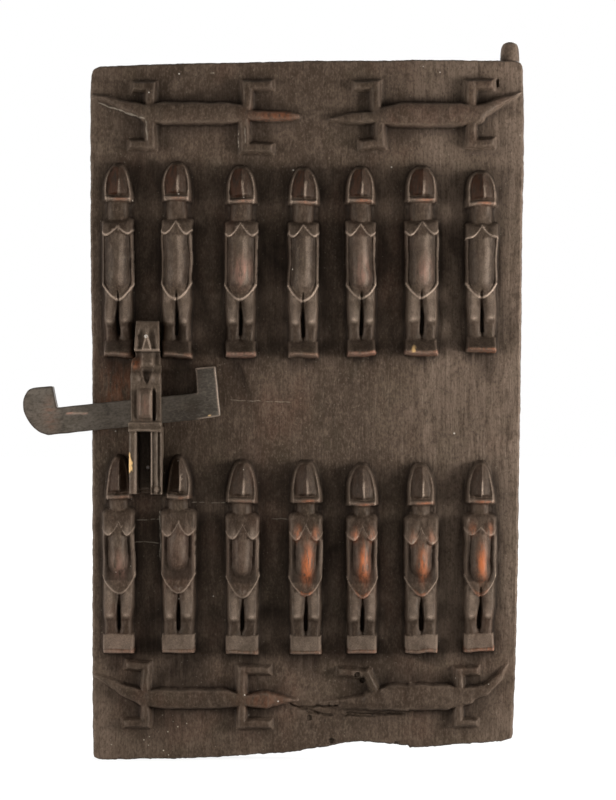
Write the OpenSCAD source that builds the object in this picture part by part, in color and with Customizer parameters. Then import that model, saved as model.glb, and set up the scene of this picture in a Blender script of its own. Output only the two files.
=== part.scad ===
// Carved granary door: one thick plank with two rows of standing figures and four crocodiles in relief,
// a pivot peg left standing on its top corner, and a carved wooden lock with a sliding bolt.

/* [Plank] */
// Width of the plank at its widest, mm
door_w = 434; // [410:1:460]
// Height of the plank at the pivot peg, mm
door_h = 700; // [680:1:740]
// Thickness of the plank behind the carving, mm
door_t = 30; // [24:1:40]
// How far the right edge leans in toward the bottom, mm
edge_lean = 11; // [4:1:16]
// How far the left edge leans in toward the bottom, mm
foot_lean = 2.5; // [1:0.5:6]
// How far the worn bottom edge rises toward the right, mm
bottom_rise = 18; // [8:1:24]
// How much lower the top edge is at its left end, mm
top_drop = 6; // [2:0.5:10]
// Size of the worn corners, mm
corner = 5; // [2:0.5:8]

/* [Pivot peg] */
// Diameter of the pivot peg, mm
peg_d = 19; // [15:0.5:22]
// Length of the straight part of the peg, mm
peg_len = 13; // [10:0.5:20]
// Length of the worn round end of the peg, mm
peg_end = 7.5; // [4:0.5:9]
// Distance of the peg's axis from the widest part of the right edge, mm
peg_inset = 13; // [12:0.5:16]

/* [Rows of figures] */
// Distance of the first figure's centre from the left edge, mm
first_col = 28.7; // [26:0.1:34]
// Distance of the last figure's centre from the widest part of the right edge, mm
last_col = 43; // [36:0.5:50]
// Height of the lower row's plinths above the bottom corner, mm
lower_base = 107.5; // [106:0.5:116]
// Height of the upper row's plinths above the bottom corner, mm
upper_base = 402.5; // [399:0.5:404]
// Width of a figure over its arms, mm
fig_w = 34; // [28:0.5:35]
// Height of the relief at the breasts and the nose, mm
fig_relief = 24; // [14:0.5:30]
// Depth to which the carving runs on into the plank, mm
embed = 3; // [1:0.5:6]
// How far the bolt's line lies below the middle of the plain band between the rows, mm
lock_drop = 4.5; // [3:0.5:6]

/* [Upper figures] */
// Height of the head in the upper row, mm
upper_head = 39; // [30:0.5:41]
// Height of the neck in the upper row, mm
upper_neck = 17.5; // [14:0.5:22]
// Height from crotch to shoulders in the upper row, mm
upper_torso = 82.5; // [70:0.5:84]
// Height of the legs in the upper row, mm
upper_legs = 38; // [30:0.5:40]
// Height of the plinth in the upper row, mm
upper_plinth = 17; // [12:0.5:20]

/* [Lower figures] */
// Height of the head in the lower row, mm
lower_head = 44; // [34:0.5:46]
// Height of the neck in the lower row, mm
lower_neck = 11.5; // [10:0.5:17]
// Height from crotch to shoulders in the lower row, mm
lower_torso = 83.5; // [70:0.5:85]
// Height of the legs in the lower row, mm
lower_legs = 38; // [30:0.5:40]
// Height of the plinth in the lower row, mm
lower_plinth = 21; // [14:0.5:22]

/* [Crocodiles] */
// Length of the body between the legs, mm
croc_body = 98; // [80:1:104]
// Width of the body, mm
croc_w = 24; // [18:0.5:28]
// Length of the tail, mm
croc_tail = 48; // [40:1:49]
// How far the tail tip rises above the body's line, mm
croc_tail_rise = 19; // [10:0.5:24]
// Length of the head and snout, mm
croc_snout = 53; // [44:1:56]
// Height of the crocodile relief, mm
croc_relief = 14; // [8:0.5:20]
// Width of a leg, mm
croc_leg = 12; // [8:0.5:14]
// Distance from the body's line to the outer side of a foot, mm
croc_reach = 33; // [28:0.5:36]
// Length of a foot with its leg, mm
croc_foot = 33; // [22:0.5:36]
// Width of a foot, mm
croc_foot_w = 10; // [6:0.5:12]
// Distance of the upper crocodiles' line below the top edge, mm
croc_top = 54; // [50:0.5:60]
// Height of the lower crocodiles' line above the bottom corner, mm
croc_low = 63; // [62:0.5:66]
// Distance of the left crocodiles' middle from the left edge, mm
croc_left = 104; // [102:0.5:110]
// Distance of the upper right crocodile's middle from the widest part of the right edge, mm
croc_right = 99; // [98:0.5:106]
// Distance of the lower right crocodile's middle from the widest part of the right edge, mm
croc_low_right = 114; // [112:0.5:120]

/* [Lock case] */
// Width of the case over its arms, mm
case_w = 30; // [27:0.5:31]
// Depth of the case at its belly, mm
case_d = 46; // [42:0.5:56]
// Depth of the plain back of the case, mm
case_back = 24; // [23:0.5:30]
// Width of the plain back of the case, mm
back_w = 25; // [23:0.5:26]
// Height of the case head, mm
case_head = 30.4; // [26:0.2:34]
// Width of the head at the jaw, mm
jaw_w = 24.6; // [22:0.2:26]
// Width of the head at the crown, mm
crown_w = 22.4; // [18:0.2:24]
// Height of the neck, mm
case_neck = 14.4; // [12:0.2:18]
// Width of the neck, mm
case_neck_w = 9; // [6:0.5:12]
// Height of the shoulders above the bolt's line, mm
case_torso = 43.6; // [40:0.2:46]
// Distance of the hip band's top below the bolt's line, mm
band_drop = 11.6; // [10:0.2:13]
// Height of the hip band, mm
band_h = 9; // [7:0.5:12]
// Length of the legs, mm
case_legs = 60.8; // [54:0.2:64]
// Depth of the legs, mm
leg_d = 36; // [28:0.5:40]
// Width of the left leg, mm
leg_left_w = 8; // [6:0.5:10]
// Width of the right leg, mm
leg_right_w = 11; // [8:0.5:12]
// Thickness of the web behind the leg gap, mm
web_d = 12; // [8:0.5:16]
// Room between the legs of the case and the heads beside them, mm
case_room = 1.9; // [1.5:0.1:4]

/* [Bolt] */
// Length of the bar from the case's middle to its right end, mm
bolt_right = 71.5; // [68:0.5:78]
// Distance of the hook's centre from the case's middle, mm
bolt_left = 98.5; // [94:0.5:100]
// Height of the bar, mm
bar_h = 27; // [22:0.5:28]
// Thickness of the bolt, mm
bolt_t = 18; // [14:0.5:19]
// Radius of the round hook, mm
hook_r = 24.5; // [20:0.5:26]
// Width of the hook beyond its centre, mm
hook_lip = 8; // [4:0.5:12]
// Width of the upright grip, mm
grip_w = 21; // [16:0.5:24]
// Height of the upright grip above the bar, mm
grip_h = 25; // [18:0.5:26]
// Tilt of the bolt, left end low, degrees
bolt_tilt = 6; // [3:0.5:7]
// Clearance of the bolt in its channel, mm
bolt_play = 0.3; // [0.2:0.05:1]

/* [Drop pins and nails] */
// Diameter of a drop pin, mm
pin_d = 6; // [4:0.2:6.4]
// Length of a drop pin, mm
pin_len = 34; // [26:0.5:36]
// Distance between the two drop pins, mm
pin_pitch = 13; // [12:0.2:14]
// Clearance around a drop pin, mm
pin_play = 0.3; // [0.2:0.05:0.5]
// Height to which a drop pin can be lifted, mm
pin_lift = 12; // [8:0.5:12]
// Depth of a drop pin's socket in the bolt, mm
socket_depth = 10; // [6:0.5:11]
// Diameter of a nail, mm
nail_d = 2.6; // [2:0.1:3.4]
// Diameter of a nail head, mm
nail_head_d = 4; // [3.6:0.1:8]
// Thickness of a nail head, mm
nail_head_h = 1.6; // [1:0.1:2]
// Depth of a nail in the plank, mm
nail_set = 18; // [12:0.5:22]
// Clearance around a nail, mm
nail_play = 0.05; // [0.02:0.01:0.1]
// Height of the upper nail above the jaw of the case, mm
nail_up = 15; // [13:0.5:18]
// Height of the lower nail above the feet of the case, mm
nail_low = 25; // [16:0.5:40]

/* [Hidden] */
$fn = 64;
// Points of a section, from its flank to its middle, in shares of the half width
CREST = 0.56;
FIG_U = [1, 0.8, CREST, 0.3, 0];
CROC_U = [1, 0.55, 0];
// Sideways offsets of the hand-placed figures, in shares of the column pitch
UPPER_DX = [0, -0.03, 0.03, 0.06, 0.01, 0.01, 0];
LOWER_DX = [0.01, 0, 0.05, 0.1, 0.025, 0, -0.03];
// Heights of the figures and widths of their bodies and heads, in shares of the nominal ones
UPPER_TALL = [1, 1.01, 0.99, 0.98, 0.98, 0.98, 0.94];
LOWER_TALL = [1, 1, 0.985, 0.98, 0.965, 0.96, 0.96];
UPPER_WIDE = [0.97, 0.96, 1, 0.96, 0.92, 1.05, 0.98];
LOWER_WIDE = [1, 1.08, 1.05, 1.04, 0.96, 1.04, 0.98];
slim_head = 0.78;
UPPER_HEAD = [0.86, 0.9, 0.92, 0.92, 0.88, 0.94, 0.92];
LOWER_HEAD = [slim_head, 0.76, 0.92, 0.96, 0.96, 0.8, 0.84];
// Plinth heights of the upper figures above the row's base, in shares of the plinth height
UPPER_LIFT = [0, -0.04, 0, 0, 0.08, 0.12, 0.28];
LOWER_LIFT = [0, 0, -0.09, -0.06, -0.06, 0, 0.07];
// Limbs of a whole crocodile and of one that has lost a front leg: along the body, then up or down
ALL_LIMBS = [[1, 1], [1, -1], [-1, 1], [-1, -1]];
WORN_LIMBS = [[1, 1], [-1, 1], [-1, -1]];
peg_x = door_w - peg_inset;
lock_pitch = case_w + fig_w * slim_head + 2 * case_room;
pitch = (door_w - first_col - last_col - lock_pitch) / 5;
lock_x = first_col + lock_pitch / 2;
lower_top = lower_base + lower_plinth + lower_legs + lower_torso + lower_neck + lower_head;
lock_y = (upper_base + lower_top) / 2 - lock_drop;
bar_top = bar_h * 0.47 / cos(bolt_tilt);
bar_low = bar_h * 0.53 / cos(bolt_tilt);
tilt_rise = case_w / 2 * tan(bolt_tilt);
channel_top = bar_top + tilt_rise + bolt_play;
channel_low = bar_low + tilt_rise + bolt_play;
channel_d = bolt_t + 2 * bolt_play;
bolt_z = bolt_play + bolt_t / 2;
grip_lean = (bar_h * 0.47 + grip_h) * tan(bolt_tilt);
throw_left = bolt_right - grip_w - grip_lean - case_w / 2 / cos(bolt_tilt) - bolt_play;
jaw_y = case_torso + case_neck;
feet_y = -band_drop - band_h - case_legs;
nail_up_y = jaw_y + nail_up;
nail_low_y = feet_y + nail_low;
nail_seat = case_d * 0.9;

function flatten(rows) = [for (row = rows) for (p = row) p];

// Height at a share u of the half width, from the heights y in the middle, at the crest and at the flank
function bend(u, y) = u <= CREST ? y[0] + (y[1] - y[0]) * u / CREST
    : y[1] + (y[2] - y[1]) * (u - CREST) / (1 - CREST);

// One closed section: base, flank, crest, middle and back again, at heights d above the face
function section(us, d, half, y, x0, base) = let (n = len(us) - 1) concat(
    [[x0 - half, y[2], -base]],
    [for (k = [0:n]) [x0 - us[k] * half, bend(us[k], y), d[k]]],
    [for (k = [n - 1:-1:0]) [x0 + us[k] * half, bend(us[k], y), d[k]]],
    [[x0 + half, y[2], -base], [x0, y[0], -base]]);

// Solid through a list of sections that have the same number of points
module loft(rows) {
    n = len(rows[0]);
    last = len(rows) - 1;
    sides = [for (i = [0:last - 1]) for (j = [0:n - 1]) let (a = i * n, b = a + n, k = (j + 1) % n)
        each [[a + j, b + j, a + k], [b + j, b + k, a + k]]];
    foot = [for (j = [0:n - 3]) [n - 1, j, j + 1]];
    top = [for (j = [0:n - 3]) [last * n + n - 1, last * n + j + 1, last * n + j]];
    polyhedron(flatten(rows), concat(sides, foot, top));
}

// Flat outline of the plank, worn unevenly along its bottom edge
function plank_outline() = [
    [foot_lean + corner, 0],
    [door_w * 0.21, bottom_rise * 0.05],
    [door_w * 0.35, bottom_rise * 0.22],
    [door_w * 0.46, bottom_rise * 0.42],
    [door_w * 0.51, bottom_rise * 0.62],
    [door_w * 0.6, bottom_rise],
    [door_w * 0.65, bottom_rise],
    [door_w * 0.73, bottom_rise * 0.82],
    [door_w * 0.74, bottom_rise * 0.66],
    [door_w * 0.88, bottom_rise * 0.88],
    [door_w - edge_lean - corner, bottom_rise * 1.1],
    [door_w - edge_lean, bottom_rise * 1.1 + corner],
    [door_w, door_h * 0.89],
    [door_w - edge_lean * 0.1, door_h * 0.945],
    [peg_x + peg_d / 2, door_h],
    [peg_x - peg_d / 2, door_h],
    [door_w * 0.86, door_h + top_drop * 0.2],
    [door_w * 0.5, door_h - top_drop * 0.1],
    [corner * 1.4, door_h - top_drop],
    [corner * 0.3, door_h - top_drop - corner],
    [0, door_h * 0.8],
    [foot_lean, corner]
];

module plank() {
    translate([0, 0, -door_t])
        linear_extrude(door_t)
            polygon(plank_outline());
}

// Round peg on the top edge, with a worn, bluntly rounded end
module pivot_peg() {
    translate([peg_x, door_h - corner, -door_t / 2])
        rotate([-90, 0, 0]) {
            cylinder(d = peg_d, h = corner + peg_len);
            translate([0, 0, corner + peg_len])
                cylinder(d1 = peg_d, d2 = peg_d * 0.84, h = peg_end * 0.5);
            translate([0, 0, corner + peg_len + peg_end * 0.5])
                cylinder(d1 = peg_d * 0.84, d2 = peg_d * 0.45, h = peg_end * 0.5);
        }
}

// The same height in the middle, at the crest and at the flank of a section
function level(y) = [y, y, y];

// Sections of a figure from the foot of its plinth to the top of its head
function figure_rows(head, neck, torso, legs, plinth, half, head_half) = let (
    step = fig_relief * 0.02,
    hands = plinth + legs,
    wrist = hands + torso * 0.21,
    breast = hands + torso * 0.79,
    chest = hands + torso,
    chin = chest + neck,
    neck_half = half * 0.52
) [for (s = [
    [level(0), half * 0.92, [0.85, 0.9, 0.9, 0.9, 0.9]],
    [level(plinth * 0.28), half * 0.94, [0.88, 0.96, 0.96, 0.96, 0.96]],
    [level(plinth), half * 0.88, [0.4, 0.5, 0.52, 0.52, 0.52]],
    [level(plinth + step), half * 0.86, [0.35, 0.5, 0.6, 0.55, 0.2]],
    [level(plinth + legs * 0.45), half * 0.9, [0.35, 0.58, 0.76, 0.7, 0.2]],
    [[hands - 2 * step, hands + torso * 0.12 - step, wrist - step], half * 0.94,
        [0.38, 0.52, 0.62, 0.6, 0.35]],
    [[hands, hands + torso * 0.12, wrist], half * 0.97, [0.45, 0.7, 0.84, 0.84, 0.8]],
    [[hands + torso * 0.08, wrist + torso * 0.01, wrist + torso * 0.1], half, [0.48, 0.74, 0.84, 0.8, 0.76]],
    [[hands + torso * 0.1, wrist + torso * 0.05, wrist + torso * 0.14], half, [0.48, 0.74, 0.58, 0.62, 0.7]],
    [[wrist + torso * 0.1, wrist + torso * 0.12, wrist + torso * 0.2], half, [0.48, 0.74, 0.54, 0.84, 0.98]],
    [level(breast - torso * 0.2), half, [0.48, 0.72, 0.54, 0.78, 0.88]],
    [[breast + torso * 0.08, breast - torso * 0.02, breast + torso * 0.02], half,
        [0.48, 0.66, 0.56, 0.56, 0.64]],
    [[breast + torso * 0.09, breast, breast + torso * 0.04], half, [0.48, 0.74, 1, 0.92, 0.7]],
    [level(chest - torso * 0.05), half, [0.48, 0.66, 0.7, 0.7, 0.66]],
    [level(chest), half * 0.96, [0.34, 0.48, 0.52, 0.52, 0.48]],
    [level(chest + step), neck_half, [0.3, 0.44, 0.5, 0.54, 0.54]],
    [level(chin - step), neck_half, [0.3, 0.44, 0.5, 0.54, 0.54]],
    [level(chin), head_half, [0.38, 0.6, 0.74, 0.86, 0.94]],
    [level(chin + head * 0.1), head_half, [0.38, 0.68, 0.78, 0.9, 1]],
    [level(chin + head * 0.14), head_half, [0.36, 0.66, 0.6, 0.72, 0.86]],
    [level(chin + head * 0.32), head_half, [0.34, 0.62, 0.6, 0.78, 1.04]],
    [level(chin + head * 0.64), head_half * 0.86, [0.3, 0.56, 0.56, 0.7, 0.86]],
    [level(chin + head * 0.88), head_half * 0.6, [0.2, 0.36, 0.42, 0.5, 0.56]],
    [level(chin + head), head_half * 0.28, [0.06, 0.12, 0.16, 0.2, 0.2]]
]) section(FIG_U, s[2] * fig_relief, s[1], s[0], 0, embed)];

// Middle of a column: the lock takes its room between the first two, the others share the rest evenly
function column(i) = i == 0 ? first_col : first_col + lock_pitch + pitch * (i - 1);

module figure_row(base, head, neck, torso, legs, plinth, dx, tall, wide, crown, lift) {
    for (i = [0:6])
        translate([column(i) + pitch * dx[i], base + plinth * lift[i], 0])
            loft(figure_rows(head * tall[i], neck * tall[i], torso * tall[i], legs * tall[i],
                plinth * tall[i], fig_w / 2 * wide[i], fig_w / 2 * crown[i]));
}

// Body of a crocodile along +Y from tail tip to snout, each section with its place, offset, width and height
function croc_rows(head_out) = let (b = croc_body / 2) [for (s = [
    [-b - croc_tail, croc_tail_rise, 0.1, 0.3],
    [-b - croc_tail * 0.5, croc_tail_rise * 0.42, 0.2, 0.55],
    [-b - croc_tail * 0.1, croc_tail_rise * 0.04, 0.28, 0.7],
    [-b, 0, 0.46, 0.85],
    [-b * 0.2, 0, 0.52, 1],
    [b * 0.94, 0, 0.46, 0.92],
    [b + croc_snout * 0.08, 0, 0.28, 0.8 * head_out],
    [b + croc_snout * 0.5, 0, 0.32, 0.78 * head_out],
    [b + croc_snout * 0.96, 0, 0.17, 0.6 * head_out],
    [b + croc_snout, 0, 0.1, 0.35 * head_out]
]) section(CROC_U, [0.45, 0.85, 1] * croc_relief * s[3], croc_w * s[2], level(s[0]), -s[1], embed)];

// Bent leg with its foot, outward along +X and up along +Y
module croc_limb() {
    translate([0, 0, -embed])
        linear_extrude(embed + croc_relief * 0.75)
            polygon([[-croc_leg / 2, 0], [croc_leg / 2, 0], [croc_leg / 2, croc_reach - croc_foot_w],
                [croc_foot - croc_leg / 2, croc_reach - croc_foot_w], [croc_foot - croc_leg / 2, croc_reach],
                [-croc_leg / 2, croc_reach]]);
}

module crocodile(head_out, limbs) {
    rotate([0, 0, -90])
        loft(croc_rows(head_out));
    for (l = limbs)
        translate([l[0] * croc_body / 2, 0, 0])
            scale([l[0], l[1], 1])
                croc_limb();
}

module crocodiles() {
    translate([croc_left, door_h - croc_top, 0])
        crocodile(1, ALL_LIMBS);
    translate([door_w - croc_right, door_h - croc_top, 0])
        mirror([1, 0, 0])
            crocodile(1, ALL_LIMBS);
    translate([croc_left, croc_low, 0])
        crocodile(1, ALL_LIMBS);
    translate([door_w - croc_low_right, croc_low, 0])
        mirror([1, 0, 0])
            crocodile(0.6, WORN_LIMBS);
}

// Turns the flat layout, seen from the front, upright and puts the peg's axis at the origin
module upright() {
    translate([-peg_x, -door_t / 2, -door_h])
        rotate([90, 0, 0])
            children();
}

// Places what belongs to the lock at the middle of the bolt's channel
module at_lock() {
    upright()
        translate([lock_x, lock_y, 0])
            children();
}

module nail_bore(y) {
    translate([0, y, -nail_set])
        cylinder(d = nail_d + 2 * nail_play, h = nail_set + case_d);
}

module door_panel() {
    color("#4a3d33")
        difference() {
            union() {
                upright() {
                    plank();
                    pivot_peg();
                    crocodiles();
                    figure_row(lower_base, lower_head, lower_neck, lower_torso, lower_legs, lower_plinth,
                        LOWER_DX, LOWER_TALL, LOWER_WIDE, LOWER_HEAD, LOWER_LIFT);
                    figure_row(upper_base, upper_head, upper_neck, upper_torso, upper_legs, upper_plinth,
                        UPPER_DX, UPPER_TALL, UPPER_WIDE, UPPER_HEAD, UPPER_LIFT);
                }
            }
            at_lock() {
                nail_bore(nail_up_y);
                nail_bore(nail_low_y);
            }
        }
}

// Sections of the case's torso, from the hip band to the shoulders
function case_torso_rows() = let (h = case_torso + band_drop, y0 = -band_drop) [for (s = [
    [0, 1, [0.62, 0.72, 0.72, 0.72, 0.72]],
    [0.05, 1, [0.62, 0.86, 0.66, 0.84, 0.92]],
    [0.3, 1, [0.62, 0.86, 0.64, 0.9, 1]],
    [0.54, 1, [0.62, 0.86, 0.64, 0.8, 0.86]],
    [0.68, 1, [0.62, 0.8, 0.7, 0.72, 0.64]],
    [0.76, 1, [0.64, 0.9, 0.94, 0.82, 0.64]],
    [0.9, 1, [0.62, 0.78, 0.82, 0.78, 0.72]],
    [1, 0.96, [0.52, 0.58, 0.62, 0.62, 0.62]]
]) section(FIG_U, s[2] * case_d, case_w / 2 * s[1], level(y0 + h * s[0]), 0, 0)];

// Sections of the case's head: jaw, hollow cheeks beside the wedge of the nose, brow and crown
function case_head_rows() = [for (s = [
    [0, 0, [0.64, 0.78, 0.82, 0.86, 0.86]],
    [0.08, 0, [0.64, 0.82, 0.86, 0.92, 0.92]],
    [0.13, 0.1, [0.64, 0.82, 0.74, 0.88, 0.92]],
    [0.42, 0.4, [0.64, 0.82, 0.72, 0.78, 0.94]],
    [0.56, 0.6, [0.64, 0.82, 0.8, 0.82, 0.9]],
    [1, 1, [0.6, 0.68, 0.7, 0.72, 0.72]]
]) let (y = jaw_y + case_head * s[0])
    section(FIG_U, s[2] * case_d, (jaw_w + (crown_w - jaw_w) * s[1]) / 2, level(y), 0, 0)];

module block(x0, x1, y0, y1, z1) {
    translate([x0, y0, 0])
        cube([x1 - x0, y1 - y0, z1]);
}

module pin_bore(side) {
    translate([side * pin_pitch / 2, 0, bolt_z])
        rotate([-90, 0, 0])
            cylinder(d = pin_d + 2 * pin_play, h = pin_rest(side) + pin_len + pin_lift + bolt_play);
}

module lock_case() {
    color("#453930")
        at_lock()
            difference() {
                union() {
                    loft(case_torso_rows());
                    loft(case_head_rows());
                    block(-back_w / 2, back_w / 2, -band_drop, jaw_y + case_head * 0.98, case_back);
                    block(-case_neck_w / 2, case_neck_w / 2, case_torso * 0.9, jaw_y + case_head * 0.1,
                        case_d * 0.74);
                    block(-case_w / 2, case_w / 2, -band_drop - band_h, -band_drop, case_d * 0.9);
                    block(-case_w / 2, -case_w / 2 + leg_left_w, feet_y, -band_drop, leg_d);
                    block(case_w / 2 - leg_right_w, case_w / 2, feet_y, -band_drop, leg_d);
                    block(-case_w / 2, case_w / 2, feet_y + leg_left_w / 2, -band_drop, web_d);
                }
                translate([-case_w, -channel_low, -channel_d])
                    cube([2 * case_w, channel_low + channel_top, 2 * channel_d]);
                pin_bore(-1);
                pin_bore(1);
                nail_bore(nail_up_y);
                nail_bore(nail_low_y);
                translate([0, nail_up_y, nail_seat])
                    cylinder(d = nail_head_d + 4 * nail_play, h = case_d);
            }
}

// Resting height of a drop pin on the tilted bar, under the higher side of its tip
function pin_rest(side) = bar_top + (side * pin_pitch / 2 + pin_d * 0.3) * tan(bolt_tilt) + bolt_play;

module drop_pin(side) {
    translate([side * pin_pitch / 2, pin_rest(side), bolt_z])
        rotate([-90, 0, 0]) {
            cylinder(d1 = pin_d * 0.6, d2 = pin_d, h = pin_d * 0.3);
            translate([0, 0, pin_d * 0.3])
                cylinder(d = pin_d, h = pin_len - pin_d * 0.3);
        }
}

module tumbler_pin_left() {
    color("#3b3a3a")
        at_lock()
            drop_pin(-1);
}

module tumbler_pin_right() {
    color("#3b3a3a")
        at_lock()
            drop_pin(1);
}

// Flat shape of the bolt along its own axis: bar, round hook and upright grip
module bolt_shape() {
    translate([-bolt_left, -bar_h * 0.53])
        square([bolt_left + bolt_right, bar_h]);
    translate([bolt_right - grip_w, 0])
        square([grip_w, bar_h * 0.47 + grip_h]);
    translate([-bolt_left, hook_r - bar_h * 0.53])
        intersection() {
            circle(r = hook_r);
            translate([-hook_r, -hook_r])
                square([hook_r, 2 * hook_r]);
        }
    translate([-bolt_left, 0])
        square([hook_lip, 2 * hook_r - bar_h * 0.53]);
}

// Socket that lies under a drop pin when the bolt is pushed fully to the left
module pin_socket(side) {
    shift = throw_left * cos(bolt_tilt) + side * pin_pitch / 2;
    translate([shift, bar_top + shift * tan(bolt_tilt) - socket_depth, bolt_z])
        rotate([-90, 0, 0])
            cylinder(d = pin_d + 4 * pin_play, h = 2 * socket_depth);
}

module lock_bolt() {
    color("#57514a")
        at_lock()
            difference() {
                rotate([0, 0, bolt_tilt])
                    translate([0, 0, bolt_play])
                        linear_extrude(bolt_t)
                            bolt_shape();
                pin_socket(-1);
                pin_socket(1);
            }
}

module nail(y, seat) {
    translate([0, y, 0]) {
        translate([0, 0, -nail_set])
            cylinder(d1 = nail_d * 0.3, d2 = nail_d, h = nail_d);
        translate([0, 0, nail_d - nail_set])
            cylinder(d = nail_d, h = seat + nail_set - nail_d);
        translate([0, 0, seat])
            cylinder(d1 = nail_head_d, d2 = nail_head_d * 0.8, h = nail_head_h);
    }
}

module lock_nail_top() {
    color("#8d8379")
        at_lock()
            nail(nail_up_y, nail_seat);
}

module lock_nail_bottom() {
    color("#5e564f")
        at_lock()
            nail(nail_low_y, web_d);
}

door_panel();
lock_case();
lock_bolt();
tumbler_pin_left();
tumbler_pin_right();
lock_nail_top();
lock_nail_bottom();
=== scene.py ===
"""Looks of a carved granary door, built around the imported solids.

Carving is laid out in millimetres on the door's face: x from the plank's left edge, y up from its lowest
corner, h out of the face. Objects are in metres, in the frame of the solids.
"""
import math
from types import SimpleNamespace

import bpy
import numpy as np
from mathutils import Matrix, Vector


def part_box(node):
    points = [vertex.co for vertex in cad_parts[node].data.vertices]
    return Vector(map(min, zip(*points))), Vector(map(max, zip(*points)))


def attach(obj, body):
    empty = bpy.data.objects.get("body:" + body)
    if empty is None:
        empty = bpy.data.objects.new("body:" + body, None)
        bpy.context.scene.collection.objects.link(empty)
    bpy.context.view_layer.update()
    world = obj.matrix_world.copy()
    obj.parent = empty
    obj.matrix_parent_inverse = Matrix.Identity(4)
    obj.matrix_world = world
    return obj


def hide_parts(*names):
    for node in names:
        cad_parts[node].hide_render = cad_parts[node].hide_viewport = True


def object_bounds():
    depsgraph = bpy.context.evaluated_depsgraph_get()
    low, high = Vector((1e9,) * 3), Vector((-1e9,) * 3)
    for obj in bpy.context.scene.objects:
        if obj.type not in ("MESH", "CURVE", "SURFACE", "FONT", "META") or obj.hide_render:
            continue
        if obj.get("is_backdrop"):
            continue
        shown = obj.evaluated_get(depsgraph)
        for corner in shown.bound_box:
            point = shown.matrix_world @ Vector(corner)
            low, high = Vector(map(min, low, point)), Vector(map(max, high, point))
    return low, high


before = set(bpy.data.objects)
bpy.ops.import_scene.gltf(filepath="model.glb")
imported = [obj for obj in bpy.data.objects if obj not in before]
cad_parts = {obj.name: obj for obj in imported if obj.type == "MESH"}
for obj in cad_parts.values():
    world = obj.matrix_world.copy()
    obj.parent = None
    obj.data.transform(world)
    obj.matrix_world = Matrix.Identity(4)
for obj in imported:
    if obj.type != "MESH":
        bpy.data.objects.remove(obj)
cad_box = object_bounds()

MM = 0.001
DOOR_T = 30.0
DOOR_W = 434.0
DOOR_H = 700.0
PANEL_LOW, PANEL_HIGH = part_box("door_panel")
LEFT = PANEL_LOW[0]
FOOT = PANEL_LOW[2]
FACE = PANEL_HIGH[1] - DOOR_T * MM

# Figures: half width and relief, width of their steep flanks, and columns
HALF = 17.0
RELIEF = 24.0
WALL = 1.8
FIRST_COL = 28.7
LOCK_PITCH = 60.32
PITCH = 60.4
# Middle of the bolt's channel on the face
LOCK_X = 58.86
LOCK_Y = 349.5
TILT = math.radians(6.0)

# Spacing of the points of the carved face, of the lock case and of the bolt
FACE_STEP = 0.8
BACK_EVERY = 5
CASE_STEP = 0.5
BOLT_VOXEL = 0.9
PANEL_TRIANGLES = 184000


def smooth(low, high, value):
    t = np.clip((value - low) / (high - low), 0.0, 1.0)
    return t * t * (3.0 - 2.0 * t)


def dome(q):
    return np.sqrt(np.clip(1.0 - q * q, 0.0, 1.0))


def noise(x, y, cell_x, cell_y, seed):
    """Smooth random field between -1 and 1 with cells of the given size."""
    lattice = np.random.default_rng(seed).uniform(-1.0, 1.0, (128, 128))
    fx, fy = np.asarray(x) / cell_x, np.asarray(y) / cell_y
    ix, iy = np.floor(fx).astype(int), np.floor(fy).astype(int)
    tx, ty = fx - ix, fy - iy
    tx, ty = tx * tx * (3 - 2 * tx), ty * ty * (3 - 2 * ty)
    x0, x1, y0, y1 = ix % 128, (ix + 1) % 128, iy % 128, (iy + 1) % 128
    low = lattice[y0, x0] * (1 - tx) + lattice[y0, x1] * tx
    high = lattice[y1, x0] * (1 - tx) + lattice[y1, x1] * tx
    return low * (1 - ty) + high * ty


def blur(a, sigma, step):
    r = max(1, int(round(sigma / step)))
    for axis in (0, 1):
        for _ in range(2):
            pad = [(r + 1, r) if k == axis else (0, 0) for k in (0, 1)]
            c = np.cumsum(np.pad(a, pad, mode="edge"), axis=axis)
            n = a.shape[axis]
            high = np.take(c, np.arange(2 * r + 1, 2 * r + 1 + n), axis=axis)
            a = (high - np.take(c, np.arange(n), axis=axis)) / (2 * r + 1)
    return a


def spot(x, y, cx, cy, rx, ry):
    return np.exp(-((x - cx) / rx) ** 2 - ((y - cy) / ry) ** 2)


def along_segment(x, y, x0, y0, x1, y1):
    """Share of the way along a segment at its point nearest to x and y, and the distance from it."""
    dx, dy = x1 - x0, y1 - y0
    t = np.clip(((x - x0) * dx + (y - y0) * dy) / (dx * dx + dy * dy), 0.0, 1.0)
    return t, np.hypot(x - x0 - t * dx, y - y0 - t * dy)


def rounding(rim, radius):
    """Share of the way into a rounded edge, and how far it has dropped there."""
    q = np.clip(1.0 - rim / radius, 0.0, 1.0)
    return q, radius * (1.0 - np.sqrt(1.0 - q * q))


def soft_min(a, b, k):
    """Smaller of two values, rounded off where they are nearly equal."""
    t = np.clip(0.5 + 0.5 * (b - a) / k, 0.0, 1.0)
    return b + (a - b) * t - k * t * (1.0 - t)


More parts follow.
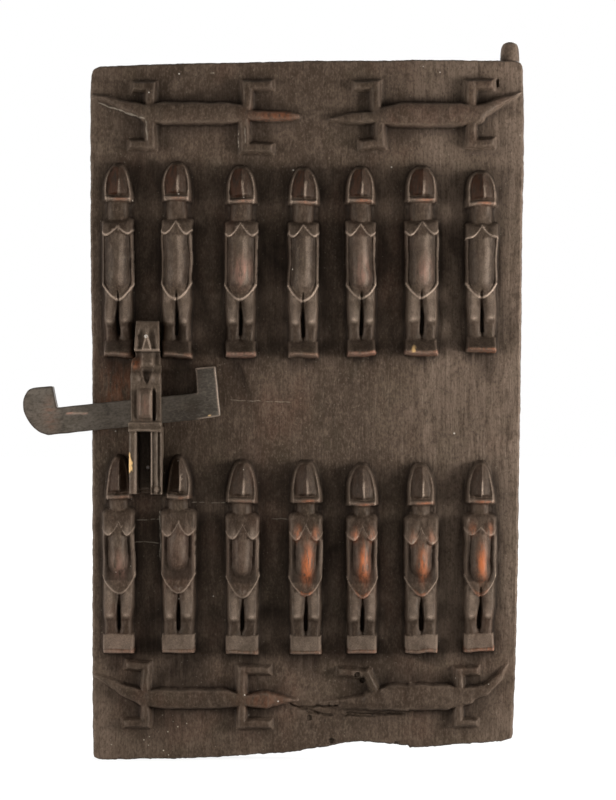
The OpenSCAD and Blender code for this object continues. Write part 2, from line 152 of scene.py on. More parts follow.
# Rows of figures: heights of their parts, and what differs from one figure to the next
# Some look values set painted light: a painted sheen on the bellies, painted highlights on rubbed lines and
# on the lower plinths' tops, and painted shade on the upper plinths' tops and in the faces.
BASE_LOOK = dict(
    breast=17.0, cleft=12.5, wing=5.5, lobe=0.66, cone=0.1, bust=0.22, strip=3.0, apron=3.4, roll=0.1,
    dip=0.07, moat=1.6, vee=0.21, bow=1.75, round=2.2, slope=0.8, slit=1.6, palm=0.0, sex=0.0, neck=0.62,
    point=2.6, lip=0.27, lean=0.0, warm=0.0, pink=0.0, chin=0.4, edge=0.3, line=0.95, tread=0.5, dusty=0.0,
    gloss=0.35, gloom=1.0, trim=1.0)
LONG_LOOK = dict(
    breast=25.0, cleft=15.0, wing=8.0, lobe=0.54, cone=0.26, bust=0.12, strip=5.4, apron=14.0, roll=0.16,
    dip=0.08, moat=1.4, vee=0.27, bow=1.85, round=3.4, slope=3.0, neck=0.55, point=2.3, chin=0.3, edge=0.35,
    line=0.55, tread=0.0, dusty=0.3, gloss=0.18, gloom=0.72, trim=0.65)


def look(**changes):
    return SimpleNamespace(**{**BASE_LOOK, **changes})


def long_look(**changes):
    return look(**{**LONG_LOOK, **changes})


ROWS = [
    SimpleNamespace(
        base=402.5, plinth=17.0, legs=40.0, torso=80.8, neck=17.2, head=39.3, seed=100,
        dx=[0, -0.03, 0.03, 0.06, 0.01, 0.01, 0],
        tall=[1, 1.01, 0.99, 0.98, 0.98, 0.98, 0.94],
        wide=[0.97, 0.96, 1, 0.96, 0.92, 1.05, 0.98],
        crown=[0.91, 0.95, 0.98, 0.97, 0.93, 0.99, 0.97],
        lift=[0, -0.04, 0, 0, 0.08, 0.12, 0.28],
        looks=[
            look(palm=0.7, cleft=8.0, lean=0.3), look(palm=0.8, slit=1.7),
            look(pink=0.9, cleft=13.0, lean=-0.4),
            look(palm=0.6, slit=1.9, chin=0.5),
            look(palm=1.0, pink=0.55, chin=1.0, slit=1.7, edge=0.7, lean=0.5),
            look(palm=0.7, pink=0.5, chin=0.6, cleft=14.0, edge=0.5),
            look(palm=1.0, chin=0.7, edge=0.9, wing=-1.0)]),
    SimpleNamespace(
        base=107.5, plinth=20.0, legs=39.0, torso=83.5, neck=11.5, head=44.0, seed=200,
        dx=[0.01, 0, 0.05, 0.1, 0.025, 0, -0.03],
        tall=[1, 1, 0.985, 0.98, 0.965, 0.96, 0.96],
        wide=[1, 1.08, 1.05, 1.04, 0.96, 1.04, 0.98],
        crown=[0.82, 0.8, 1.0, 1.02, 1.02, 0.88, 0.9],
        lift=[0, 0, -0.09, -0.06, -0.06, 0, 0.07],
        looks=[
            long_look(pink=0.35, slit=1.6), long_look(sex=1.0, apron=16.0, cleft=12.0, cone=0.16),
            long_look(sex=1.0, slit=1.7, apron=14.0), long_look(warm=1.0, slit=1.6, chin=0.6, roll=0.18),
            long_look(warm=0.9, pink=0.2, slit=1.9, chin=0.7, edge=0.5),
            long_look(warm=0.55, sex=0.6, slit=2.2, chin=0.9, edge=0.4, breast=28.0, cone=0.3),
            long_look(warm=0.7, palm=1.1, slit=2.1, chin=0.9, edge=1.0, apron=9.0, roll=0.22, cleft=7.0,
                      breast=21.0, cone=0.14, lean=-0.6)]),
]


def figures():
    """Place, scale and look of each figure."""
    for row in ROWS:
        for i in range(7):
            column = FIRST_COL if i == 0 else FIRST_COL + LOCK_PITCH + PITCH * (i - 1)
            yield SimpleNamespace(
                row=row, i=i, x=column + PITCH * row.dx[i], y=row.base + row.plinth * row.lift[i],
                tall=row.tall[i], wide=row.wide[i], crown=row.crown[i] / row.wide[i], look=row.looks[i],
                height=landmarks(row)[-1] + row.head)


def near_figure(f, x, y, reach):
    return (np.abs(x - f.x) < reach) & (y > f.y - 3) & (y < f.y + f.height * f.tall + 3)


def landmarks(row):
    """Heights of plinth, hands, chest and chin over the foot of the plinth."""
    plinth = row.plinth
    hands = plinth + row.legs
    chest = hands + row.torso
    return plinth, hands, chest, chest + row.neck


def hand_carved(f, x, y):
    """Place in a figure's own plan, a little out of true as carved by hand."""
    seed = f.row.seed + 7 * f.i
    v = (y - f.y) / f.tall + 1.2 * noise(x, y, 13, 20, seed + 1)
    u = (x - f.x) / f.wide + 0.9 * noise(x, y, 14, 20, seed)
    return u + f.look.lean * (v / 90.0 - 1.0), v


def head_opening(a, v, row, chin, lk):
    """Share of the helmet's height, its half width, and how far a point lies inside it and inside its rim."""
    tau = np.clip((v - chin) / row.head, 0.0, 1.0)
    width = HALF * np.sqrt(1.0 - tau ** lk.point)
    inside = np.minimum(width - a, (chin + row.head - v) * 0.8)
    return tau, width, inside, 4.6 - 1.8 * tau


NOSE = 0.9
WORN = (0.8, 1.3)


def head_relief(u, v, row, chin, lk):
    """Helmet with sloping sides, two hollow facets that meet on a sharp ridge, a nose, and a chin band."""
    a = np.abs(u)
    tau, width, inside, rim = head_opening(a, v, row, chin, lk)
    helmet = 0.2 + 0.45 * smooth(-1.0, rim, inside)
    across = np.clip(np.abs(u - NOSE) / np.maximum(width - rim - NOSE * np.sign(u), 1.0), 0.0, 1.0)
    facet = 0.57 + 0.39 * (1.0 - across) ** 1.4
    opening = smooth(rim - 0.4, rim + 1.4, inside)
    h = helmet * (1.0 - opening) + facet * opening
    nose_half = 0.3 + 3.2 * smooth(0.62, 0.2, tau)
    nose = smooth(nose_half + 1.0, nose_half - 0.6, np.abs(u - NOSE))
    nose = nose * smooth(0.17, 0.21, tau) * smooth(0.7, 0.4, tau)
    h = np.maximum(h, nose * (0.99 - 0.05 * np.abs(u - NOSE)))
    mouth = smooth(0.21, 0.17, tau) * smooth(HALF * 0.8, HALF * 0.5, a)
    h = h * (1.0 - mouth) + 0.62 * mouth
    band = smooth(0.125, 0.1, tau) * smooth(HALF * 0.9, HALF * 0.74, a)
    h = np.maximum(h, band * (0.9 - 0.16 * (a / HALF) ** 2))
    fall = 1.0 - 0.42 * tau ** 2.2
    return RELIEF * h * fall * smooth(0.0, WALL, inside) * smooth(chin - 0.3, chin + 0.7, v)


def arm_line(a, lk, hands, chest):
    """Lower edge of the forearms."""
    return hands + (chest - hands) * lk.vee * np.clip(a / HALF, 0.0, 1.2) ** lk.bow


def breast_line(a, lk, chest):
    """Lower edge of the breasts, with the share of the way out to the flank."""
    lobe = HALF * lk.lobe
    inward = np.clip((lobe - a) / lobe, 0.0, 1.0)
    outward = np.clip((a - lobe) / (HALF - lobe), 0.0, 1.0)
    return chest - lk.breast + lk.cleft * inward ** 1.5 + lk.wing * outward ** 1.6, outward


def belly_share(a, v, lk, hands, chest):
    """How far a point lies out of the arms, and its share of the way from them to the belly's middle."""
    rise = np.clip((v - hands) / (chest - hands), 0.0, 1.0)
    half = HALF * (1.0 - 0.04 * np.sin(np.pi * rise))
    side, low = half - a, (v - arm_line(a, lk, hands, chest)) * 0.75
    near = soft_min(side / lk.strip, low / lk.apron, 1.0)
    room = lk.strip + lk.moat
    inner = soft_min((side - room) / (half - room), (low - lk.apron) / 13.0, 0.5)
    return rise, half, near, np.clip(inner, 0.0, 1.0)


def torso_relief(u, v, lk, hands, chest):
    """Arms along the flanks that meet in a V, a long belly between them, and breasts over it."""
    a = np.abs(u)
    rise, half, near, inner = belly_share(a, v, lk, hands, chest)
    edge = arm_line(a, lk, hands, chest)
    arm = 0.56 + lk.roll * dome(np.clip(1.0 - 1.25 * near, -1.0, 1.0))
    top = np.interp(rise, [0.0, 0.32, 0.6, 0.8, 1.0], [0.88, 1.0, 0.93, 0.84, 0.74])
    moat = 0.56 + lk.roll - lk.dip
    belly = moat + (top - moat) * (0.7 * dome(1.0 - inner) + 0.3 * np.sin(inner * np.pi / 2))
    slab = arm + (belly - arm) * smooth(*WORN, near)
    palm = smooth(lk.palm + 0.7, lk.palm - 0.5, a) * smooth(11.0, 7.0, v - hands) * (lk.palm > 0)
    slab = slab - 0.2 * palm

    droop, outward = breast_line(a, lk, chest)
    fall = np.clip((chest - v) / np.maximum(chest - droop, 1.0), 0.0, 1.0)
    cone = np.clip(1.0 - np.abs(a - HALF * lk.lobe * (0.6 + 0.4 * fall)) / (HALF * 0.5), 0.0, 1.0)
    bust = 0.6 + lk.bust * fall + lk.cone * cone * fall - 0.06 * outward ** 2
    cover = smooth(droop - 0.8, droop + 0.6, v)
    slab = slab * (1.0 - cover) + np.maximum(bust, slab * 0.9) * cover
    collar = chest + lk.slope * smooth(HALF, HALF * lk.neck, a)
    slab = slab * (1.0 - 0.3 * smooth(collar - 6.0, collar, v))
    slab = slab + 0.16 * lk.sex * spot(u, v, 0.0, hands + 4.0, 2.4, 4.5)

    r = lk.round
    qx, qy = a - half + r, v - collar + r
    inside = r - np.hypot(np.maximum(qx, 0.0), np.maximum(qy, 0.0)) - np.minimum(np.maximum(qx, qy), 0.0)
    return slab * smooth(0.0, WALL, inside) * smooth(-0.5, 0.9, v - edge), edge


def figure_relief(u, v, row, lk, crown):
    """Height of a standing figure at u across and v above the foot of its plinth."""
    a = np.abs(u)
    plinth, hands, chest, chin = landmarks(row)

    lip = plinth * lk.lip
    slope = np.interp(v, [0.0, lip - 0.5, lip + 0.5, plinth], [0.94, 0.96, 0.94, 0.46])
    inside = np.minimum(HALF * 0.93 - a, v)
    h = slope * smooth(0.0, WALL, inside) * smooth(plinth + 0.5, plinth - 0.5, v)

    torso, edge = torso_relief(u, v, lk, hands, chest)
    h = np.maximum(h, torso)

    # Legs with full thighs down to the knee, set back shins and an open slit, under the forearms
    run = np.clip((v - plinth) / (hands - plinth), 0.0, 1.0)
    lift = np.interp(run, [0.0, 0.34, 0.43, 0.52, 0.8, 1.0], [0.5, 0.52, 0.66, 0.72, 0.66, 0.54])
    leg = lift - 0.3 + 0.3 * dome((a - HALF * 0.48) / (HALF * 0.52))
    slit = lk.slit * np.interp(run, [0.08, 0.15, 0.4, 0.6, 0.9, 1.0], [0.0, 0.7, 0.8, 0.55, 0.15, 0.05])
    open_low = smooth(0.08, 0.14, run) * (1.0 - 0.8 * smooth(0.6, 0.9, run))
    leg = leg * (1.0 - 0.9 * smooth(slit + 0.6, slit - 0.4, a) * open_low)
    leg_half = HALF * np.interp(run, [0.0, 0.3, 0.46, 0.8, 1.0], [0.87, 0.88, 0.92, 0.95, 0.94])
    leg = leg * smooth(0.0, 1.5 * WALL, leg_half - a) * smooth(plinth - 1.5, plinth - 0.3, v)
    h = np.maximum(h, leg * smooth(edge + 3.0, edge + 1.0, v))

    # Neck in front of a low backing that has a pit on each side
    nw = HALF * lk.neck
    neck = (0.3 + 0.26 * dome(a / nw * 0.99)) * smooth(0.0, 1.0, nw - a)
    backing = 0.22 * smooth(0.0, 3.0, HALF * 0.86 - a)
    backing = backing * (1.0 - 0.95 * spot(a, v, nw + 2.4, chest + row.neck * 0.5, 2.8, row.neck * 0.5))
    collar = smooth(chest - 1.8, chest - 0.8, v) * smooth(chin + 2.5, chin + 1.5, v)
    h = np.maximum(h, np.maximum(neck, backing) * collar)

    return np.maximum(RELIEF * h, head_relief(u / crown, v, row, chin, lk))


# Crocodiles as ribbons of points, x, y, half width and height, and square limbs
CROCS = [
    {"half": 6.5, "ribbons": [
        [(3, 665, 2.2, 4), (20, 660, 4.5, 7), (40, 651.5, 7, 10), (60, 646.5, 10, 12)],
        [(58, 646.5, 10.5, 12), (75, 646, 12, 14), (130, 646, 12, 14), (152, 646, 10, 12)],
        [(150, 645, 6, 11), (162, 644.6, 6.2, 12), (185, 643.6, 6.0, 11), (200, 643.2, 5.2, 9),
         (207, 643, 3.6, 7)]],
     "limbs": [[(61, 652), (61, 673), (45, 673)], [(61, 641), (61, 615.5), (41, 615)],
               [(157, 652), (157, 674), (182, 674.5)], [(154.5, 641), (155, 611.5), (181, 611)]]},
    {"half": 6.4, "ribbons": [
        [(431, 666.5, 2.2, 4), (414, 660, 4.5, 7), (398, 651, 7, 10), (384, 645.5, 10, 12)],
        [(386, 645, 10.5, 12), (370, 644.5, 13, 14), (312, 644.5, 13, 14), (292, 643.5, 9.5, 12)],
        [(294, 642.5, 7, 11), (282, 641.5, 7, 12), (260, 641, 6.2, 10), (240, 640.5, 2.6, 7)]],
     "limbs": [[(286, 650), (286, 674), (265, 674)], [(289.5, 640), (289.5, 616), (271, 615)],
               [(381, 650), (381, 674), (402, 674.5)], [(381, 640), (381, 616.5), (402, 616.5)]]},
    {"half": 5.7, "ribbons": [
        [(5, 85, 2.2, 4), (18, 79.5, 4.5, 6), (34, 70.5, 6.5, 9), (54, 63, 9, 11)],
        [(54, 62.5, 9, 11), (72, 62, 10.8, 13), (130, 62, 10.8, 13), (148, 61, 8.5, 11)],
        [(146, 60.5, 6, 9), (156, 60.5, 7, 11), (176, 60.5, 9.6, 12), (193, 60.3, 5, 9), (207, 60, 1.8, 6)]],
     "limbs": [[(56, 66), (56.5, 93.5), (38, 95.5)], [(56, 58), (56, 37.5), (35, 36.8)],
               [(152, 66), (152, 90.5), (179, 90)], [(152, 58), (152, 37), (180, 36.8)]]},
    {"half": 5.7, "ribbons": [
        [(416, 94, 2.4, 3), (408, 82, 4.5, 6), (394, 70.5, 6.5, 8), (372, 66, 9.5, 11)],
        [(376, 65, 10, 11), (355, 64, 14, 13), (305, 63, 14, 13), (282, 60, 11, 11)],
        [(282, 59, 9, 9), (265, 57.5, 7.5, 7), (246, 56.5, 6, 5), (231, 57, 3, 3)]],
     "limbs": [[(287, 66), (277, 87), (250, 88.5)], [(369, 68), (369, 89.5), (387, 90)],
               [(367.5, 60), (367.5, 38.5), (386, 38)]]},
]
LIMB_H = 9.5
TOE = 3.0


def ribbon(x, y, points, crest):
    """Height of a band through points with a crest share that is rounded off across it."""
    h = np.zeros_like(x)
    for (x0, y0, w0, h0), (x1, y1, w1, h1) in zip(points, points[1:]):
        t, d = along_segment(x, y, x0, y0, x1, y1)
        w, top = w0 + (w1 - w0) * t, h0 + (h1 - h0) * t
        q = np.clip(d / w, 0.0, 1.0)
        h = np.maximum(h, top * ((1.0 - crest) + crest * dome(q)) * smooth(0.0, 2.0, w - d))
    return h


def bar(x, y, start, end, half, beyond):
    """Height of a straight bar with square ends and bevelled edges that runs on beyond its last point."""
    dx, dy = end[0] - start[0], end[1] - start[1]
    length = math.hypot(dx, dy)
    along = ((x - start[0]) * dx + (y - start[1]) * dy) / length
    across = np.abs((y - start[1]) * dx - (x - start[0]) * dy) / length
    inside = np.minimum(half - across, np.minimum(along + half, length + beyond - along))
    return LIMB_H * (0.62 * smooth(-0.5, 3.4, inside) + 0.38 * dome(1.0 - np.clip(inside / half, 0.0, 1.0)))


def croc_relief(x, y, croc):
    h = np.zeros_like(x)
    for points in croc["ribbons"]:
        h = np.maximum(h, ribbon(x, y, points, 0.55))
    half = croc["half"]
    for hip, corner, toe in croc["limbs"]:
        h = np.maximum(h, bar(x, y, hip, corner, half, half))
        h = np.maximum(h, 0.94 * bar(x, y, corner, toe, half * 0.94, TOE))
    return h


# Outline of the plank
def left_edge(y):
    return np.interp(y, [0, 3, 6, 25, 65, 415, 440, 540, 665, 685, 690, 694],
                     [6, 3.6, 2.8, 2.8, 2.2, 2, 1, 0.2, 0.2, 1.4, 2.6, 7])


def right_edge(y):
    return np.interp(y, [19, 22, 26, 40, 65, 90, 115, 165, 215, 290, 340, 415, 515, 565, 590, 630, 665, 690,
                         697, 700],
                     [418, 422, 423.3, 423.5, 424.5, 425.5, 426.4, 427.5, 428.5, 429.5, 430.4, 431.3, 432.4,
                      433.2, 434, 434.3, 434, 433.2, 432, 430])


def bottom_edge(x):
    return np.interp(x, [0, 3, 6, 12, 60, 90, 120, 150, 180, 200, 210, 220, 230, 240, 255, 268, 280, 295,
                         310, 318, 320, 325, 340, 360, 380, 400, 410, 418, 424],
                     [6, 2.6, 0.8, 0, 0.8, 1, 2, 4, 6.2, 7.4, 9, 11, 12, 14, 17, 18, 18, 16, 15, 14.6,
                      12, 12, 13, 15, 16, 17.5, 18, 19, 22])


def top_edge(x):
    return np.interp(x, [0, 3, 7, 60, 90, 150, 200, 220, 300, 315, 360, 380, 410, 428, 431, 434],
                     [689, 692.4, 694, 696, 697, 698, 699.4, 700, 700, 700.8, 700.8, 700.2, 700, 699.6, 698,
                      692])


# Cracks as start, end, height and lean, and worm-eaten holes
CRACKS = [(205, 252, 52.5, 0.06), (214, 246, 47.5, -0.08), (196, 232, 57, -0.3), (282, 316, 47, -0.05)]
HOLES = [(219, 42), (267, 86), (273, 80), (241, 19), (306, 16)]


def erosion(x, y):
    """Depth lost in the cracked and eaten zone by the lower edge."""
    zone = smooth(0.25, 0.8, spot(x, y, 232, 45, 42, 26))
    rough = 1.6 + 1.3 * noise(x, y, 7, 4, 31) + 0.9 * noise(x, y, 3, 2.2, 32)
    depth = zone * np.clip(rough, 0.0, 4.0)
    line = 45.5 + 1.2 * noise(x, y, 9, 50, 33)
    depth = depth + 6.0 * smooth(2.6, 0.6, np.abs(y - line)) * smooth(252, 258, x) * smooth(289, 280, x)
    for k, (x0, x1, y0, lean) in enumerate(CRACKS):
        line = y0 + lean * (x - x0) + 1.4 * noise(x, y, 6, 90, 40 + k)
        crack = 3.6 * smooth(1.5, 0.4, np.abs(y - line)) * smooth(x0, x0 + 6, x) * smooth(x1, x1 - 6, x)
        depth = depth + crack
    for cx, cy in HOLES:
        depth = depth + 4.0 * smooth(0.3, 0.6, spot(x, y, cx, cy, 3.4, 3.0))
    return depth


def fluted(x, y):
    """One on the fluted ground between the rows of figures."""
    return smooth(190, 215, x) * smooth(270, 300, y) * smooth(410, 395, y)


def panel_height(x, y):
    """Height of the carved face over the plank's plane."""
    right = smooth(170.0, 300.0, x)
    ground = 0.5 * noise(x, y, 34, 46, 1) + 0.22 * noise(x, y, 11, 17, 2) - 0.25
    ground = ground + fluted(x, y) * (0.5 * noise(x, y, 5.5, 26, 9) + 0.3 * noise(x, y, 3, 14, 10))
    ground = ground + (0.45 + 0.4 * right) * (0.34 * noise(x, y, 3.1, 34, 3) + 0.2 * noise(x, y, 1.9, 15, 4))
    under = smooth(312, 322, y) * smooth(408, 398, y) * smooth(250, 236, x)
    ground = ground * (1 - under) + np.minimum(ground, 0.1) * under
    relief = np.zeros_like(x)
    wx = x + 0.8 * noise(x, y, 15, 15, 5)
    wy = y + 0.8 * noise(x, y, 15, 15, 6)
    for croc in CROCS:
        xs = [p[0] for r in croc["ribbons"] for p in r]
        ys = [p[1] for r in croc["limbs"] for p in r]
        near = (x > min(xs) - 8) & (x < max(xs) + 8) & (y > min(ys) - 12) & (y < max(ys) + 12)
        relief[near] = np.maximum(relief[near], croc_relief(wx[near], wy[near], croc))
    for f in figures():
        near = near_figure(f, x, y, 25)
        u, v = hand_carved(f, x[near], y[near])
        relief[near] = np.maximum(relief[near], figure_relief(u, v, f.row, f.look, f.crown))
    relief = 0.4 * relief + 0.6 * blur(relief, FACE_STEP, FACE_STEP)
    carved = smooth(1.0, 4.0, relief)
    tool = 0.52 * noise(x, y, 5.5, 9, 7) + 0.2 * noise(x, y, 2.6, 5, 8)
    h = np.maximum(ground * (1.0 - 0.6 * carved), relief + tool * carved)
    h = h - erosion(x, y) * (0.6 + 0.4 * carved)
    slit = smooth(1.4, 0.5, np.abs(x - 407.5)) * smooth(672, 675, y) * smooth(682, 679, y)
    return h - 5.0 * slit


EDGE_R = 3.0
# Side walls as height, inset and drift, the back as height, inset and wave, and the peg as height and radius
WALL_LEVELS = [(-7.0, 0.0, 0.35), (-13.0, 0.0, 0.45), (-19.0, 0.0, 0.45), (-25.0, 0.1, 0.35),
               (-28.4, 0.7, 0.2)]
BACK = (-DOOR_T, 2.6, 0.9)
PEG = [(688, 8.6), (697, 9.9), (703, 9.7), (709, 9.35), (713, 8.9), (716, 8.1), (718.2, 6.7),
       (719.6, 4.6), (720.3, 2.2)]
PEG_X = 421
PEG_LEAN = 0.012


def unit_grid(width, height, step):
    """Shares across and up of a grid that a coarser one also fits."""
    nx, ny = (int(size / step / BACK_EVERY) * BACK_EVERY + 1 for size in (width, height))
    return np.meshgrid(np.linspace(0, 1, nx), np.linspace(0, 1, ny))


def face_grid():
    """Points of the carved face between the plank's worn edges, with their heights."""
    s, t = unit_grid(DOOR_W, DOOR_H, FACE_STEP)
    x = s * DOOR_W
    for _ in range(2):
        wave = 0.4 * noise(x, t * 0, 6, 1, 11) + 0.25 * noise(x, t * 0, 2.5, 1, 12)
        low, high = bottom_edge(x) + wave, top_edge(x) + 0.5 * wave
        y = low + (high - low) * t
        wave = 0.3 * noise(y, t * 0, 9, 1, 13) + 0.15 * noise(y, t * 0, 3, 1, 14)
        west, east = left_edge(y) + wave, right_edge(y) + wave
        x = west + (east - west) * s
    rim = np.minimum(np.minimum(x - west, east - x), np.minimum(y - low, high - y))
    q, drop = rounding(rim, EDGE_R)
    return x, y, panel_height(x, y) * (1.0 - 0.5 * q) - drop


def to_world(x, y, h):
    return np.stack([LEFT + x * MM, FACE - h * MM, FOOT + y * MM], axis=-1)


def new_object(name, data):
    obj = bpy.data.objects.new(name, data)
    bpy.context.collection.objects.link(obj)
    return obj


def new_mesh(name, points, triangles):
    mesh = bpy.data.meshes.new(name)
    mesh.vertices.add(len(points))
    mesh.vertices.foreach_set("co", np.ascontiguousarray(points, dtype=np.float32).ravel())
    mesh.loops.add(len(triangles) * 3)
    mesh.loops.foreach_set("vertex_index", np.ascontiguousarray(triangles, dtype=np.int32).ravel())
    mesh.polygons.add(len(triangles))
    mesh.polygons.foreach_set("loop_start", np.arange(0, len(triangles) * 3, 3, dtype=np.int32))
    mesh.update(calc_edges=True)
    return new_object(name, mesh)


def grid_triangles(index):
    a, b, c, d = index[:-1, :-1], index[:-1, 1:], index[1:, 1:], index[1:, :-1]
    return np.concatenate([np.stack([a, b, c], -1).reshape(-1, 3), np.stack([a, c, d], -1).reshape(-1, 3)])


def around(index):
    """Border of a grid of indices, counter-clockwise from its lower left corner."""
    return np.concatenate([index[0, :-1], index[:-1, -1], index[-1, :0:-1], index[:0:-1, 0]])


def front_mesh(x, y, h):
    """Points, triangles and border of a carved front."""
    index = np.arange(x.size).reshape(x.shape)
    return [to_world(x, y, h).reshape(-1, 3)], [grid_triangles(index)], around(index)


def next_indices(points, count):
    first = sum(len(p) for p in points)
    return np.arange(first, first + count)


def add_wall(points, triangles, ring, level_points):
    """Wall from a ring of points down to the next one, whose indices it gives."""
    level = next_indices(points, len(ring))
    points.append(level_points)
    follow, after = np.roll(ring, -1), np.roll(level, -1)
    triangles.append(np.stack([ring, level, after], -1))
    triangles.append(np.stack([ring, after, follow], -1))
    return level


def slab_mesh(name, x, y, h, levels, every, back):
    """Closed slab: a carved front, side walls at levels of (height, inset, drift), and a coarse back."""
    points, triangles, ring = front_mesh(x, y, h)
    inward_x, inward_y = np.zeros_like(x), np.zeros_like(x)
    inward_x[:, 0], inward_x[:, -1], inward_y[0, :], inward_y[-1, :] = 1, -1, 1, -1
    rx, ry, ix, iy = (g.ravel()[ring] for g in (x, y, inward_x, inward_y))
    for height, inset, drift in levels:
        flat = np.full_like(rx, height)
        wobble = inset + drift * noise(rx + ry, flat, 9, 5, 21)
        ring = add_wall(points, triangles, ring, to_world(rx + ix * wobble, ry + iy * wobble, flat))
    height, inset, wave = back
    bx, by = x[::every, ::every].copy(), y[::every, ::every].copy()
    bx[:, 0] += inset
    bx[:, -1] -= inset
    by[0, :] += inset
    by[-1, :] -= inset
    bh = np.full_like(bx, height) + wave * (0.5 + 0.5 * noise(bx, by, 26, 60, 22)) ** 2
    rear = next_indices(points, bx.size).reshape(bx.shape)
    points.append(to_world(bx, by, bh).reshape(-1, 3))
    triangles.append(grid_triangles(rear)[:, ::-1])
    outer = around(rear)
    fine = ring.reshape(-1, every)
    follow = np.roll(ring, -1).reshape(-1, every)
    after = np.roll(outer, -1)
    half = every // 2
    for k in range(every):
        hub = outer if k < half else after
        triangles.append(np.stack([fine[:, k], hub, follow[:, k]], -1))
    triangles.append(np.stack([fine[:, half], outer, after], -1))
    return new_mesh(name, np.concatenate(points), np.concatenate(triangles))


def apply(obj, kind, **settings):
    modifier = obj.modifiers.new(kind.lower(), kind)
    for key, value in settings.items():
        setattr(modifier, key, value)
    with bpy.context.temp_override(object=obj, active_object=obj, selected_objects=[obj]):
        bpy.ops.object.modifier_apply(modifier=modifier.name)


def boolean(obj, tool, operation):
    apply(obj, "BOOLEAN", object=tool, operation=operation, solver="MANIFOLD")
    bpy.data.objects.remove(tool, do_unlink=True)


def lathe(name, rings, segments=40):
    """Closed turned shape through rings of (centre, radius) along one line."""
    centres = [Vector(c) for c, _ in rings]
    axis = (centres[-1] - centres[0]).normalized()
    side = axis.orthogonal().normalized()
    other = axis.cross(side)
    angles = np.linspace(0, 2 * np.pi, segments, endpoint=False)
    points = [[*centres[0]]]
    for centre, (_, radius) in zip(centres, rings):
        for g in angles:
            points.append([*(centre + radius * (math.cos(g) * side + math.sin(g) * other))])
    points.append([*centres[-1]])
    triangles = []
    last = len(points) - 1
    for j in range(segments):
        k = (j + 1) % segments
        triangles.append([0, 1 + k, 1 + j])
        for r in range(len(rings) - 1):
            a, b = 1 + r * segments, 1 + (r + 1) * segments
            triangles.append([a + j, a + k, b + k])
            triangles.append([a + j, b + k, b + j])
        a = 1 + (len(rings) - 1) * segments
        triangles.append([a + j, a + k, last])
    return new_mesh(name, np.array(points), np.array(triangles))


def box_tool(x0, x1, y0, y1, h0, h1):
    """Plain cutting block on the face."""
    corners = [(x, y, h) for h in (h0, h1) for y in (y0, y1) for x in (x0, x1)]
    points = to_world(*np.array(corners, dtype=float).T)
    quads = [(0, 1, 3, 2), (4, 6, 7, 5), (0, 4, 5, 1), (2, 3, 7, 6), (0, 2, 6, 4), (1, 5, 7, 3)]
    triangles = [t for a, b, c, d in quads for t in ((a, c, b), (a, d, c))]
    return new_mesh("cutter", points, np.array(triangles))


def set_attributes(obj, values):
    for name, value in values.items():
        layer = obj.data.attributes.new(name, "FLOAT", "POINT")
        layer.data.foreach_set("value", np.ascontiguousarray(value, dtype=np.float32))


def vertices(obj):
    co = np.empty(len(obj.data.vertices) * 3, dtype=np.float32)
    obj.data.vertices.foreach_get("co", co)
    return co.reshape(-1, 3).astype(float)


def face_coordinates(co):
    return (co[:, 0] - LEFT) / MM, (co[:, 2] - FOOT) / MM, (FACE - co[:, 1]) / MM


def sample(field, x, y, px, py):
    """Values of a grid field at points, read between the grid's points."""
    ny, nx = field.shape
    row = np.clip((py - y[0].mean()) / (y[-1].mean() - y[0].mean()), 0, 1) * (ny - 1)
    for _ in range(3):
        j = np.clip(np.round(row).astype(int), 0, ny - 1)
        col = np.clip((px - x[j, 0]) / (x[j, -1] - x[j, 0]), 0, 1) * (nx - 1)
        i = np.clip(np.round(col).astype(int), 0, nx - 1)
        row = np.clip((py - y[0, i]) / (y[-1, i] - y[0, i]), 0, 1) * (ny - 1)
    j0, i0 = np.clip(row.astype(int), 0, ny - 2), np.clip(col.astype(int), 0, nx - 2)
    fj, fi = row - j0, col - i0
    low = field[j0, i0] * (1 - fi) + field[j0, i0 + 1] * fi
    high = field[j0 + 1, i0] * (1 - fi) + field[j0 + 1, i0 + 1] * fi
    return low * (1 - fj) + high * fj


def finish_mesh(obj, material, nodes, body, angle=40.0):
    obj.data.materials.clear()
    obj.data.materials.append(material)
    obj.data.polygons.foreach_set("use_smooth", np.ones(len(obj.data.polygons), dtype=bool))
    obj.data.set_sharp_from_angle(angle=math.radians(angle))
    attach(obj, body)
    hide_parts(*nodes)


# Materials
def srgb(*channels):
    return tuple(((c / 255 + 0.055) / 1.055) ** 2.4 if c > 10 else c / 255 / 12.92 for c in channels) + (1.0,)


def put(tree, socket, value):
    if isinstance(value, bpy.types.NodeSocket):
        tree.links.new(value, socket)
    else:
        socket.default_value = value


def add_node(tree, kind, inputs=None, **settings):
    """Node with settings and linked or fixed inputs."""
    n = tree.nodes.new(kind)
    for key, value in settings.items():
        setattr(n, key, value)
    for key, value in (inputs or {}).items():
        put(tree, n.inputs[key], value)
    return n


